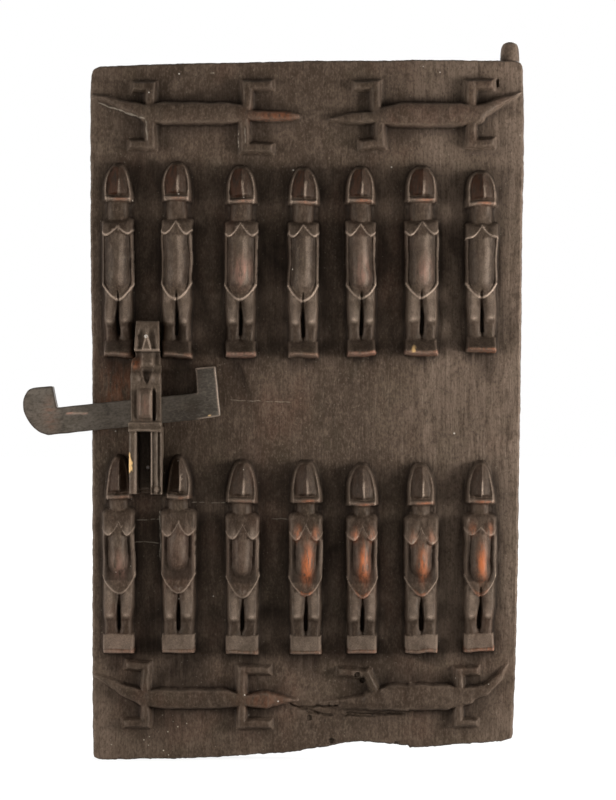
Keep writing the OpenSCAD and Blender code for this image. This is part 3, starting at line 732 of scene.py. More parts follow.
class Shader:
    """Short forms for a node tree that ends in one principled shader, with coats laid on a colour."""

    def __init__(self, name, turn=0.0):
        self.material = bpy.data.materials.new(name)
        self.material.use_nodes = True
        self.tree = self.material.node_tree
        self.bsdf = self.tree.nodes["Principled BSDF"]
        self.coords = self.node("ShaderNodeTexCoord").outputs["Object"]
        if turn:
            about = {"Vector": self.coords, "Rotation": (0.0, turn, 0.0)}
            self.coords = self.node("ShaderNodeMapping", about).outputs[0]

    def node(self, kind, inputs=None, **settings):
        return add_node(self.tree, kind, inputs, **settings)

    def put(self, name, value):
        put(self.tree, self.bsdf.inputs[name], value)

    def math(self, operation, a, b=0.0):
        return self.node("ShaderNodeMath", {0: a, 1: b}, operation=operation).outputs[0]

    def times(self, a, b):
        return self.math("MULTIPLY", a, b)

    def plus(self, a, b):
        return self.math("ADD", a, b)

    def minus(self, a, b):
        return self.math("SUBTRACT", a, b)

    def scaled(self, scale, shift=(0, 0, 0)):
        place = {"Vector": self.coords, "Scale": scale, "Location": shift}
        return self.node("ShaderNodeMapping", place).outputs[0]

    def noise(self, scale, detail=3.0, rough=0.55, shift=(0, 0, 0)):
        place = {"Vector": self.scaled(scale, shift), "Scale": 1.0, "Detail": detail, "Roughness": rough}
        return self.node("ShaderNodeTexNoise", place).outputs["Fac"]

    def ramp(self, value, low, high):
        n = self.node("ShaderNodeMapRange", {"Value": value, "From Min": low, "From Max": high})
        return n.outputs["Result"]

    def mix(self, factor, a, b):
        return self.node("ShaderNodeMix", {0: factor, 6: a, 7: b}, data_type="RGBA").outputs[2]

    def coat(self, share, tint):
        self.colour = self.mix(share, self.colour, tint)

    def attribute(self, name):
        return self.node("ShaderNodeAttribute", attribute_name=name).outputs["Fac"]


def specks(sh, density, size, shift, share):
    """Small pale grains at random places."""
    place = {"Vector": sh.scaled((density,) * 3, shift), "Scale": 1.0, "Randomness": 1.0}
    n = sh.node("ShaderNodeTexVoronoi", place)
    chosen = sh.node("ShaderNodeSeparateColor", {"Color": n.outputs["Color"]}).outputs["Red"]
    near = sh.ramp(n.outputs["Distance"], size * density, size * density * 0.4)
    return sh.times(near, sh.math("GREATER_THAN", chosen, 1.0 - share))


def stroke(sh, x0, y0, x1, y1, width):
    """Thin wavering line on the face between two points."""
    where = sh.node("ShaderNodeSeparateXYZ", {"Vector": sh.coords})
    dx, dy = x1 - x0, y1 - y0
    length = math.hypot(dx, dy)
    east = sh.minus(where.outputs["X"], LEFT + x0 * MM)
    north = sh.minus(where.outputs["Z"], FOOT + y0 * MM)
    along = sh.plus(sh.times(east, dx / length), sh.times(north, dy / length))
    across = sh.minus(sh.times(north, dx / length), sh.times(east, dy / length))
    waver = sh.times(sh.minus(sh.noise((110, 110, 110), 1.0), 0.5), 0.003)
    near = sh.ramp(sh.math("ABSOLUTE", sh.plus(across, waver)), width * MM, width * 0.3 * MM)
    on = sh.times(sh.ramp(along, 0.0, 2 * MM), sh.ramp(along, length * MM, (length - 2) * MM))
    broken = sh.ramp(sh.noise((240, 240, 240), 2.0, 0.5, (4, 2, 1)), 0.36, 0.52)
    return sh.times(sh.times(near, on), broken)


def wood(name, dark, mid, light, red, dust, grained=1.0, turn=0.0, strokes=()):
    """Old oiled wood: patches, grain, worn edges with painted highlights, hollows darkened with dirt and
    painted shade, warm rubbed places and raw chips.
    """
    sh = Shader(name, turn)
    patch = sh.noise((16, 16, 11), 4.0)
    streak = sh.noise((420, 420, 18), 3.0, 0.6)
    grain = sh.noise((1300, 1300, 60), 2.0, 0.5, (0.3, 0.1, 0.2))
    fine = sh.noise((900, 900, 900), 2.0, 0.6, (0.7, 0.2, 0.4))
    blotch = sh.noise((55, 55, 32), 3.0, 0.6, (1.3, 0.4, 2.1))
    sh.colour = sh.mix(sh.ramp(patch, 0.38, 0.62), dark, mid)
    sh.coat(sh.times(sh.ramp(blotch, 0.5, 0.7), 0.35), light)
    streaked = sh.times(sh.ramp(streak, 0.5, 0.75), sh.ramp(patch, 0.42, 0.62))
    sh.coat(sh.times(streaked, 0.28 * grained), light)
    reddish = sh.ramp(sh.noise((17, 17, 12), 3.0, 0.5, (2, 5, 3)), 0.52, 0.66)
    sh.coat(sh.times(reddish, 0.3), red)
    grey = sh.attribute("grey")
    sh.coat(sh.times(grey, 0.8), light)
    olive = sh.ramp(sh.noise((34, 34, 26), 3.0, 0.6, (7, 3, 5)), 0.5, 0.66)
    sh.coat(sh.times(olive, 0.3), srgb(62, 55, 42))
    bands = sh.ramp(sh.noise((210, 210, 20), 3.0, 0.6, (5, 1, 4)), 0.48, 0.68)
    sh.coat(sh.times(bands, sh.plus(sh.times(grey, 0.45 * grained), 0.12 * grained)), dark)
    mottle = sh.ramp(sh.noise((95, 95, 70), 4.0, 0.65, (2.4, 1.1, 0.3)), 0.5, 0.7)
    sh.coat(sh.times(mottle, 0.8 - 0.15 * grained), dark)
    fleck = sh.ramp(sh.noise((180, 180, 110), 3.0, 0.65, (6, 8, 1)), 0.5, 0.7)
    sh.coat(sh.times(fleck, 0.3), light)
    speck = sh.noise((520, 520, 300), 2.0, 0.6, (3, 6, 8))
    sh.coat(sh.times(sh.ramp(speck, 0.52, 0.68), 0.3), light)
    sh.coat(sh.times(sh.ramp(speck, 0.48, 0.34), 0.45), dark)
    seams = sh.ramp(sh.noise((330, 330, 13), 3.0, 0.65, (1.1, 6, 2)), 0.52, 0.68)
    sh.coat(sh.times(seams, 0.25 * grained), srgb(36, 28, 21))
    sh.coat(sh.times(sh.ramp(grain, 0.52, 0.7), 0.25 * grained), dark)
    dirt_and_shade, chisel = sh.attribute("dirt_and_shade"), sh.attribute("chisel")
    lanes = sh.ramp(sh.noise((250, 250, 15), 3.0, 0.65, (4, 2, 9)), 0.44, 0.62)
    lanes = sh.minus(1.0, sh.times(sh.times(lanes, chisel), 0.6))
    dirt_and_shade = sh.times(dirt_and_shade, lanes)
    # Painted shade, with some dirt, in hollows, between the figures and on steep walls
    sh.coat(sh.times(dirt_and_shade, 0.93), srgb(20, 13, 9))
    rubbed = sh.times(sh.ramp(fine, 0.25, 0.6), sh.ramp(blotch, 0.3, 0.52))
    # Painted highlights, with some wear, on edges and rubbed lines
    worn_and_lit = sh.times(sh.attribute("wear_and_highlight"), sh.plus(sh.times(rubbed, 0.6), 0.4))
    sh.coat(sh.times(worn_and_lit, 0.8), srgb(184, 162, 143))
    rub = sh.times(sh.attribute("warm"), sh.ramp(sh.noise((300, 300, 70), 3.0, 0.6), 0.34, 0.56))
    sh.coat(rub, srgb(194, 106, 60))
    pink = sh.times(sh.attribute("pink"), sh.ramp(sh.noise((260, 260, 60), 3.0, 0.6, (3, 1, 2)), 0.36, 0.6))
    sh.coat(pink, srgb(158, 118, 102))
    sh.coat(sh.attribute("pale"), srgb(226, 184, 126))
    grains = sh.times(specks(sh, 62, 0.0011, (0.4, 0.7, 0.1), 0.2), dust)
    sh.coat(grains, srgb(206, 196, 182))
    thick = sh.times(specks(sh, 210, 0.0009, (0.9, 0.3, 0.6), 0.28), sh.attribute("dust"))
    sh.coat(thick, srgb(196, 184, 164))
    for segment in strokes:
        scratch = sh.times(stroke(sh, *segment[:5]), sh.attribute("front"))
        sh.coat(sh.times(scratch, segment[5]), srgb(170, 158, 142))
    sh.put("Base Color", sh.colour)
    rough = sh.plus(sh.times(fine, 0.22), 0.32)
    rough = sh.plus(rough, sh.times(dirt_and_shade, 0.25))
    sh.put("Roughness", rough)
    sh.put("Specular IOR Level", 0.12)
    sh.put("Specular Tint", (1.0, 0.84, 0.7, 1.0))
    lumps = sh.noise((130, 130, 48), 3.0, 0.6, (0.8, 4, 1))
    flutes = sh.times(streak, sh.plus(sh.times(chisel, 0.3), 0.04))
    relief = sh.plus(sh.times(lumps, 0.6), flutes)
    relief = sh.plus(relief, sh.times(sh.plus(grain, fine), 0.14))
    strength = sh.plus(sh.times(chisel, 0.4), 0.3)
    bump = sh.node("ShaderNodeBump", {"Height": relief, "Strength": strength, "Distance": 0.0022})
    sh.put("Normal", bump.outputs["Normal"])
    return sh.material


def iron(name, colour, rust):
    sh = Shader(name)
    mix = sh.mix(sh.ramp(sh.noise((600, 600, 600), 4.0), 0.42, 0.62), colour, rust)
    sh.put("Base Color", mix)
    sh.put("Metallic", 0.75)
    sh.put("Roughness", sh.ramp(sh.noise((900, 900, 900), 2.0), -0.6, 1.4))
    bump = sh.node("ShaderNodeBump", {"Height": sh.noise((1500, 1500, 1500), 3.0), "Strength": 0.4,
                                      "Distance": 0.0003})
    sh.put("Normal", bump.outputs["Normal"])
    return sh.material


# Cobweb threads, a straw and scratches: ends, half width and strength
STROKES = [(46, 240, 70, 240.5, 0.7, 0.45), (44, 218, 70, 217.5, 0.7, 0.45), (101, 258, 136, 257, 0.6, 0.35),
           (181, 241, 199, 241, 0.7, 0.35), (70.5, 199, 70, 250, 0.9, 0.5), (140, 360, 201, 357.5, 0.6, 0.35),
           (8, 657.5, 56, 639.5, 0.9, 0.5), (56, 639.5, 58, 618, 0.8, 0.35),
           (148.6, 630, 148.6, 609, 0.9, 0.5), (155, 632, 155.5, 615, 0.8, 0.35),
           (120, 686.5, 125, 687, 1.2, 0.6)]
DOOR_WOOD = wood("door_wood", srgb(51, 40, 31), srgb(75, 61, 50), srgb(119, 102, 88), srgb(88, 55, 42), 0.8,
                 strokes=STROKES)
LOCK_WOOD = wood("lock_wood", srgb(54, 44, 35), srgb(77, 64, 53), srgb(110, 95, 82), srgb(92, 64, 52), 0.3,
                 grained=0.6)
BOLT_WOOD = wood("bolt_wood", srgb(54, 49, 43), srgb(82, 75, 67), srgb(112, 103, 93), srgb(98, 76, 64), 0.4,
                 grained=0.25, turn=TILT - math.pi / 2)
BRIGHT_IRON = iron("nail_iron", srgb(178, 170, 160), srgb(120, 100, 84))
DARK_IRON = iron("pin_iron", srgb(96, 92, 88), srgb(84, 62, 50))


def relief_attributes(h, step):
    """Worn edges with painted highlights, and hollows darkened with dirt and painted shade, from a grid of
    heights.
    """
    fine = h - blur(h, 1.4, step)
    broad = h - blur(h, 8.0, step)
    wear_and_highlight = np.clip((fine - 0.35) / 0.9, 0.0, 1.0)
    dirt_and_shade = np.clip(-broad / 7.0, 0.0, 1.0) * 0.9 + np.clip((-fine - 0.4) / 1.2, 0.0, 1.0) * 0.3
    return wear_and_highlight, np.clip(dirt_and_shade, 0.0, 1.0)


def steepness(h, step):
    """Two fields: one on walls that fall off steeply, and one on slopes that face down."""
    rise, across = np.gradient(h, step)
    return smooth(1.0, 3.2, np.hypot(rise, across)), smooth(0.4, 1.6, rise)


def strip(value, low, high, soft=0.7):
    """One between two bounds, with soft ends."""
    return smooth(low - soft, low, value) * smooth(high + soft, high, value)


def figure_marks(x, y, h):
    """Rubbed lines and painted highlights, warm and pinkish wood, soot and painted shade on the figures, and
    raw chips on their edges.
    """
    warm, pink, soot_and_shade, line = (np.zeros_like(x) for _ in range(4))
    for f in figures():
        row, lk = f.row, f.look
        near = near_figure(f, x, y, 24) & (h > 3)
        u, v = hand_carved(f, x[near], y[near])
        a = np.abs(u)
        plinth, hands, chest, chin = landmarks(row)
        body = strip(v, hands + 15, chest - lk.breast) * (a < HALF)
        _, half, _, inner = belly_share(a, v, lk, hands, chest)
        arms = v - arm_line(a, lk, hands, chest)
        bust = v - breast_line(a, lk, chest)[0]
        tau, _, inside, rim = head_opening(a / f.crown, v, row, chin, lk)
        face = smooth(rim - 0.4, rim + 1.4, inside) * smooth(0.13, 0.19, tau)

        lip, crest = plinth * lk.lip, u / f.crown - NOSE
        shine = 0.35 * smooth(0.4, 0.95, inner) + 0.85 * strip(u, 3.0, 5.5, 2.2) * smooth(0.2, 0.6, inner)
        thigh = strip(v, plinth + 0.48 * row.legs, hands + 4, 2.0) * (arms < 0)
        teat = smooth(4.0, 0.5, np.abs(a - HALF * lk.lobe)) * smooth(16.0, 3.0, bust) * (bust > 0)
        cheeks = smooth(HALF * 0.86, HALF * 0.7, a / f.crown)
        # Painted highlights, with some wear on the rubbed lines: V and W lines, helmet rim and chin band, a
        # sheen on the belly, the outer arm strips brighter on the right, knees, thighs, the nose ridge's
        # right side, breast ridges and the plinths' lit front and tops
        light = sum([
            lk.line * strip(arms, 0.2, 1.7),
            0.8 * lk.line * strip(bust, 0.2, 1.2) * (a < HALF),
            0.45 * strip(half - a, 0.4, 1.3) * body * (0.6 + 0.4 * np.sign(u)),
            0.5 * lk.trim * strip(inside, rim - 0.6, rim) * smooth(0.9, 0.6, tau) * (v > chin),
            0.45 * lk.trim * strip(tau, 0.02, 0.1, 0.02) * cheeks,
            0.6 * spot(a, v, HALF * 0.5, plinth + 0.47 * row.legs, 3.0, 2.2),
            0.3 * strip(v, 0.8, lip - 1.0) * (a < HALF * 0.9),
            lk.gloss * shine * body * (bust < 0),
            lk.dusty * strip(v, lip + 1.0, plinth - 1.0) * (a < HALF * 0.9),
            0.3 * smooth(5.0, 1.0, np.abs(a - HALF * 0.5)) * thigh,
            0.55 * strip(crest, 0.1, 1.5) * strip(tau, 0.22, 0.5, 0.1) * (v > chin),
            1.4 * lk.cone * teat * (v < chest)])
        line[near] = np.maximum(line[near], light)

        nape = smooth(HALF * lk.neck * 0.35, HALF * lk.neck * 0.8, a) * strip(v, chest + 1.0, chin - 0.5)
        shank = strip(v, plinth + 1.0, hands + 6.0) * (arms < 0)
        edges = np.maximum(smooth(HALF * 0.7, HALF * 0.84, a), smooth(5.0, 2.5, a))
        # Soot and painted shade: the face hollows, more on the left facet, the helmet's top, the belly's
        # flanks, the shins, the upper plinths' tops, a little over the whole figure, and the neck's sides and
        # leg edges
        soot_and_shade[near] = np.maximum.reduce([
            soot_and_shade[near],
            lk.gloom * face * (0.78 - 0.12 * np.sign(u - NOSE)),
            0.45 * smooth(0.8, 1.0, tau) * (v > chin),
            0.68 * smooth(0.6, 0.05, inner) * body * (bust < 0) * smooth(2.0, 3.5, half - a),
            0.4 * strip(v, plinth, plinth + 0.4 * row.legs, 2.0),
            lk.tread * strip(v, lip + 1.5, plinth + 1.0, 1.0),
            0.18 + 0.12 * smooth(1.0, 4.0, bust) * (v < chest),
            0.55 * np.maximum(nape, shank * edges)])

        front = smooth(lip + 1.0, lip - 0.6, v)
        tips = chest - lk.breast + 6
        glow = sum([
            lk.warm * spot(u, v, 1.6, hands + 35, 4.2, 15),
            0.5 * lk.chin * spot(u, v, 3, chin + 2, 7, 1.6),
            0.25 * lk.edge * front * (0.4 + 0.6 * smooth(-8, 12, u)),
            0.4 * lk.warm * (spot(u, v, -8, tips, 3.2, 6) + spot(u, v, 9, tips, 3.2, 6)),
            0.35 * lk.warm * strip(arms, 0.0, 3.0) * smooth(10, 3, a)])
        ember = max(0.0, 2.5 * lk.gloom - 1.5) * face * (0.024 - 0.012 * np.sign(u - NOSE))
        warm[near] = warm[near] + glow + ember
        pink[near] = pink[near] + lk.pink * (spot(u, v, 1.5, hands + 30, 6.0, 13) + 0.4 * front)
    pale = smooth(0.55, 0.8, spot(x, y, 322.6, 410, 3.2, 4.6)) * (h > 14)
    pale = pale + 0.8 * smooth(0.5, 0.8, spot(x, y, 134, 241, 1.6, 7)) * (h > 3)
    pale = pale + 0.5 * smooth(0.6, 0.9, spot(x, y, 402, 405.8, 6, 2.2)) * (h > 16)
    marks = {"warm": warm, "pink": pink, "pale": pale, "soot_and_shade": soot_and_shade, "line": line}
    return {key: np.clip(value, 0.0, 1.0) for key, value in marks.items()}


def build_panel():
    x, y, h = face_grid()
    panel = slab_mesh("carved_panel", x, y, h, WALL_LEVELS, BACK_EVERY, BACK)
    apply(panel, "DECIMATE", ratio=PANEL_TRIANGLES / len(panel.data.polygons))
    rings = [(to_world(*np.array([PEG_X + PEG_LEAN * (up - DOOR_H), up, -DOOR_T / 2])), radius * MM)
             for up, radius in PEG]
    boolean(panel, lathe("peg", rings), "UNION")
    px, py, ph = face_coordinates(vertices(panel))
    wear_and_highlight, dirt_and_shade = relief_attributes(h, FACE_STEP)
    front = ph > -EDGE_R - 0.2
    values = figure_marks(px, py, ph)
    soot_and_shade = values.pop("soot_and_shade")
    worn_and_lit = 0.12 * sample(wear_and_highlight, x, y, px, py) * front * (1.0 - soot_and_shade)
    values["wear_and_highlight"] = np.maximum(worn_and_lit, values.pop("line"))
    # Painted shade, with some dirt, in hollows and gaps, less on high relief and in one gap of the lower row
    hollow_dirt_and_shade = np.clip(1.25 * sample(dirt_and_shade, x, y, px, py), 0.0, 1.0) * front
    hollow_dirt_and_shade = hollow_dirt_and_shade * (1.0 - 0.55 * smooth(6.0, 9.0, ph))
    hollow_dirt_and_shade = hollow_dirt_and_shade * (1.0 - 0.8 * spot(px, py, 361, 195, 14, 70))
    wall, under = (sample(field, x, y, px, py) for field in steepness(h, FACE_STEP))
    crocs = (py < 100) | (py > 605)
    # Painted shade on steep walls, but not on highlighted edges, and on the crocodiles less where walls face
    # down
    wall = wall * front * (1.0 - values["wear_and_highlight"]) * (1.0 - 0.8 * under * crocs)
    values["dirt_and_shade"] = np.maximum(np.maximum(hollow_dirt_and_shade, soot_and_shade), 0.66 * wall)
    values["chisel"] = (1.0 - smooth(2.5, 5.0, ph)) * (0.4 + 0.6 * fluted(px, py))
    step = smooth(-9.0, 9.0, px - 328.0 + 6.0 * noise(px, py, 30, 24, 52))
    wide = noise(px, py, 70, 110, 51)
    grey = 0.1 + 0.12 * smooth(150, 300, px) + (0.15 + 0.45 * smooth(90, 190, py)) * step + 0.2 * wide
    grey = grey + 0.4 * smooth(405, 424, px) * smooth(60, 160, py) + 0.3 * spot(px, py, 95, 15, 110, 34)
    grey = grey + 0.5 * spot(px, py, 361, 195, 14, 70) + 0.35 * smooth(22, 8, px)
    grey = np.where(ph < -DOOR_T * 0.8, 0.22 + 0.25 * wide, grey)
    values["front"] = front * 1.0
    values["grey"] = np.clip(grey, 0, 1) * (0.3 + 0.7 * (ph < 4))
    snout = spot(px, py, 188, 643.5, 22, 10) + 0.5 * spot(px, py, 176, 60, 22, 12)
    fibres = spot(px, py, 24, 369, 15, 9) * smooth(-0.2, 0.5, noise(px, py, 2.2, 12, 53)) * (px < 44)
    values["warm"] = np.clip(values["warm"] + 0.17 * snout * (ph > 3) + 0.22 * fibres, 0, 1)
    # Crocodiles a little darker, and their snouts more
    croc_darkening = np.maximum(0.16 * ((ph > 3) * crocs), 0.5 * np.clip(snout, 0, 1))
    values["dirt_and_shade"] = np.maximum(values["dirt_and_shade"], croc_darkening)
    values["dust"] = smooth(0.3, 0.7, spot(px, py, 95, 14, 85, 12)) * 0.9 + 0.1 * (ph < 2)
    set_attributes(panel, values)
    finish_mesh(panel, DOOR_WOOD, ["door_panel"], "door")


# Lock case: a blocky figure whose sides are given from the lock's middle line
CASE_TOP = 88.6
CASE_JAW = 58.2
CASE_CHEST = 42.4
CASE_BAND = -11.4
CASE_HIP = -20.8
CASE_FEET = -82.4
CASE_MID = 0.7
CASE_FOOT = -0.3
CASE_RIM = 1.4
CASE_GRID_W = 30.0
# Channel of the bolt and holes of the drop pins, from the lock's middle
CHANNEL_HALF = 30
CHANNEL_LOW, CHANNEL_HIGH = -16.25, 14.6
CHANNEL_BACK, CHANNEL_FRONT = -6.0, 18.6
PIN_SIDES = (-6.5, 6.5)
PIN_H = 9.3
BORE_R, BORE_TOP = 3.3, 61.15
SOCKET_R, SOCKET_REACH = 3.6, 10.0
SOCKET_X = 30.98
BAR_TOP = 12.76


def case_left(y):
    return np.interp(y, [-83, -22, -20, -12, -10, 30, 46, 51, 53, 58, 60, 89],
                     [-17.2, -17.2, -17.6, -17.6, -15.0, -15.4, -15.4, -14.6, -11.5, -11.5, -11.6, -10.2])


def case_right(y):
    return np.interp(y, [-83, -22, -20, -12, -10, 30, 43, 46, 57, 59, 89],
                     [15.2, 15.2, 15.0, 15.0, 14.6, 14.6, 14.4, 12.8, 12.6, 13.1, 12.0])


def case_face(x, y):
    """Plain head with a wedge of a nose between two tapering cheek hollows."""
    a = np.abs(x - CASE_MID)
    tau = np.clip((y - CASE_JAW) / (CASE_TOP - CASE_JAW), 0.0, 1.0)
    nose = np.clip(4.6 * (1.0 - tau / 0.58), 0.4, 4.6)
    reach = 11.2 - 3.2 * tau
    pocket = smooth(nose - 0.2, nose + 1.4, a) * smooth(reach, reach - 2.4, a)
    pocket = pocket * smooth(0.05, 0.12, tau) * smooth(0.95, 0.45, tau)
    ridge = np.clip(1.0 - a / np.maximum(nose, 0.5), 0.0, 1.0) * (tau < 0.62)
    return 43.0 - 9.0 * tau ** 2.2 - 2.8 * pocket + 1.0 * ridge


def case_trunk(x, y):
    """Sloping chest with two breasts and a notch between them, and a long belly beside a deep groove."""
    trunk = 32.0 + 7.0 * smooth(CASE_CHEST + 1.0, 33.0, y)
    for bx in (-11.2, 10.2):
        trunk = trunk + 3.2 * dome(np.clip(np.hypot(x - bx, (y - 32.0) * 0.8) / 5.2, 0.0, 1.0))
    notch = 0.6 + 0.34 * np.clip(y - 27.0, 0.0, 12.0)
    notched = smooth(notch + 1.6, notch - 0.8, np.abs(x - 0.9))
    trunk = trunk - 4.2 * notched * smooth(25, 30, y) * smooth(43, 38, y)
    across = np.abs(x + 0.9) / 7.2
    along = np.clip(np.abs(y - 6.8) / 15.6, 0.0, 1.0)
    belly = 38.0 + 7.0 * dome(np.clip(across, 0.0, 1.0) ** 1.6) * (1.0 - along ** 4)
    trunk = np.where((across < 1) & (along < 1), np.maximum(trunk - 0.3, belly), trunk)
    groove = smooth(1.9, 0.8, np.abs(x - 7.7)) + 0.12 * smooth(2.4, 0.6, np.abs(x + 9.4))
    return trunk - 6.0 * groove * smooth(-10.5, -8.5, y) * smooth(23.0, 18.0, y)


def case_legs(x, y):
    """Two legs with an open gap, the right one ridged and with a knob at its foot."""
    left = 37.0 - 0.1 * (x + 13.4) ** 2
    right = 36.0 + 1.3 * np.abs(np.abs(x - 9.6) - 2.8) - 1.6 * smooth(0.9, 0.2, np.abs(x - 9.2))
    right = right + 2.4 * dome(np.clip(np.hypot(x - 10.2, y + 77.5) / 3.0, 0.0, 1.0))
    gap = smooth(-9.6, -8.6, x) * smooth(4.2, 3.2, x)
    floor = np.where(y < CASE_FEET + 4, 1.0, 12.0)
    return np.where(x < -3, left, right) * (1.0 - gap) + floor * gap


def case_height(x, y):
    """Height of the lock case's front over the door's face."""
    a = np.abs(x - CASE_MID)
    throat = 6.0 * smooth(7.4, 4.4, a) * smooth(CASE_CHEST - 2, 48.0, y)
    neck = 25.0 + 7.0 * smooth(55.0, CASE_CHEST, y) + throat
    band = 42.0 - 1.0 * smooth(1.1, 0.3, np.abs(y + 16.4)) - 0.8 * smooth(-19.4, -20.8, y)
    h = np.where(y > CASE_JAW, case_face(x, y), np.where(y > CASE_CHEST, neck, case_trunk(x, y)))
    h = np.where(y > CASE_BAND, h, np.where(y > CASE_HIP, band, case_legs(x, y)))
    return h + 0.3 * noise(x, y, 4, 6, 61) + 0.2 * noise(x, y, 1.8, 12, 62)


def drill(obj, x, low, high, radius):
    """Cut an upright pin hole, placed from the lock's middle."""
    ends = [to_world(*np.array([LOCK_X + x, LOCK_Y + y, PIN_H])) for y in (low, high)]
    boolean(obj, lathe("pin_hole", [(end, radius * MM) for end in ends]), "DIFFERENCE")


def build_case():
    s, t = unit_grid(CASE_GRID_W, CASE_TOP - CASE_FEET, CASE_STEP)
    ends = np.abs(2 * t - 1) > 0.99
    y = CASE_FEET + (CASE_TOP - CASE_FEET) * t + 0.3 * noise(s * CASE_GRID_W, t * 0, 6, 1, 63) * ends
    west, east = case_left(y), case_right(y)
    x = west + (east - west) * s
    rim = np.minimum(np.minimum(x - west, east - x), np.minimum(y - y[0], y[-1] - y))
    h = case_height(x, y)
    h = 0.5 * (h + blur(h, CASE_STEP, CASE_STEP)) - rounding(rim, CASE_RIM)[1]
    wear_and_highlight, dirt_and_shade = relief_attributes(h, CASE_STEP)
    case = case_mesh(x, y, h)
    channel = box_tool(LOCK_X - CHANNEL_HALF, LOCK_X + CHANNEL_HALF, LOCK_Y + CHANNEL_LOW,
                       LOCK_Y + CHANNEL_HIGH, CHANNEL_BACK, CHANNEL_FRONT)
    boolean(case, channel, "DIFFERENCE")
    for side in PIN_SIDES:
        drill(case, side, 0.0, BORE_TOP, BORE_R)
    px, py, ph = face_coordinates(vertices(case))
    px, py = px - LOCK_X, py - LOCK_Y
    front = ph > 10.5
    tau = (py - CASE_JAW) / (CASE_TOP - CASE_JAW)
    # Painted highlights beside the nose and along the chin
    beside = np.abs(np.abs(px - CASE_MID) - 4.6 * (1.0 - tau / 0.58)) < 0.9
    lines = 0.5 * beside * strip(tau, 0.08, 0.5, 0.03) + 0.5 * strip(tau, 0.02, 0.08, 0.02)
    values = {"wear_and_highlight": np.maximum(0.3 * sample(wear_and_highlight, x, y, px, py), lines) * front,
              "dirt_and_shade": 0.6 * sample(dirt_and_shade, x, y, px, py) * front}
    chip = spot(px, py, -17.2, -55, 4.4, 9) + 0.75 * spot(px, py, -17.6, -46, 2.4, 9)
    values["pale"] = smooth(0.45, 0.75, chip + 0.2 * noise(px, py, 1.5, 3.0, 65)) * (ph > 31)
    values["warm"] = 0.4 * spot(px, py, -11, 46, 3.5, 5) * (ph > 20)
    values["pink"] = 0.25 * spot(px, py, -2, 5, 6, 12)
    values["grey"] = np.full_like(px, 0.25)
    values["dust"] = np.zeros_like(px)
    set_attributes(case, values)
    finish_mesh(case, LOCK_WOOD, ["lock_case"], "door")


def case_mesh(x, y, h):
    """Closed block from the case's front down to the door's face, its foot narrower than its front."""
    points, triangles, border = front_mesh(x + LOCK_X, y + LOCK_Y, h)
    rx, ry, rh = (g.ravel()[border] for g in (x, y, h))
    narrow = np.interp(ry, [-82, -20, -10, 44, 46, 88], [14.6, 14.8, 14.4, 12.4, 12.2, 11.0])
    ring = border
    for share in (0.85, 0.6, 0.35, 0.15, 0.0):
        keep = 0.0 if share < 0.4 else (share - 0.4) / 0.6
        lx = np.clip(rx, -narrow, narrow) * (1 - keep) + rx * keep
        lx = lx + 0.2 * noise(ry, np.full_like(ry, share * 40), 7, 9, 64)
        level = to_world(lx + LOCK_X, ry + LOCK_Y, CASE_FOOT + (rh - CASE_FOOT) * share)
        ring = add_wall(points, triangles, ring, level)
    ny, nx = x.shape
    rear = np.empty(x.size, dtype=int)
    rear[border] = ring
    rear = rear.reshape(ny, nx)
    rear[1:-1, 1:-1] = next_indices(points, (nx - 2) * (ny - 2)).reshape(ny - 2, nx - 2)
    placed = np.concatenate(points)
    sides = ((placed[rear[:, column], 0] - LEFT) / MM - LOCK_X for column in (0, -1))
    west, east = (np.interp(y[1:-1, 1:-1], y[:, 0], side) for side in sides)
    s = np.linspace(0, 1, nx)[1:-1][None, :]
    points.append(to_world(west + (east - west) * s + LOCK_X, y[1:-1, 1:-1] + LOCK_Y,
                           np.full_like(west, CASE_FOOT)).reshape(-1, 3))
    triangles.append(grid_triangles(rear)[:, ::-1])
    return new_mesh("carved_lock_case", np.concatenate(points), np.concatenate(triangles))


# Bolt, in its own tilted frame: hook from its lip round to the bar, then bar and grip
HOOK = [(-91.3, 34.3), (-98.0, 34.6), (-105.7, 34.6), (-112.6, 34.0), (-117.3, 31.4), (-121.5, 24.4),
        (-122.9, 15.8), (-121.1, 6.8), (-116.3, -2.6), (-109.7, -10.0), (-101.0, -14.2)]
BAR = [(-60.0, -14.2), (48.0, -14.2), (71.3, -13.1), (71.5, 37.0), (51.2, 37.4), (50.4, 12.6), (-89.4, 12.6)]
BOLT_LOW = 0.4
BOLT_HIGH = 18.2


def rounded(points, parts):
    """Points of a smooth curve through the given ones, with their tangents from their neighbours."""
    p = np.array(points)
    tangent = np.gradient(p, axis=0)
    curve = []
    for k in range(len(p) - 1):
        for t in np.linspace(0.0, 1.0, parts, endpoint=False):
            a, b = 2 * t ** 3 - 3 * t ** 2 + 1, t ** 3 - 2 * t ** 2 + t
            curve.append(a * p[k] + b * tangent[k] + (1 - a) * p[k + 1] + (t ** 3 - t ** 2) * tangent[k + 1])
    return np.array(curve + [p[-1]])


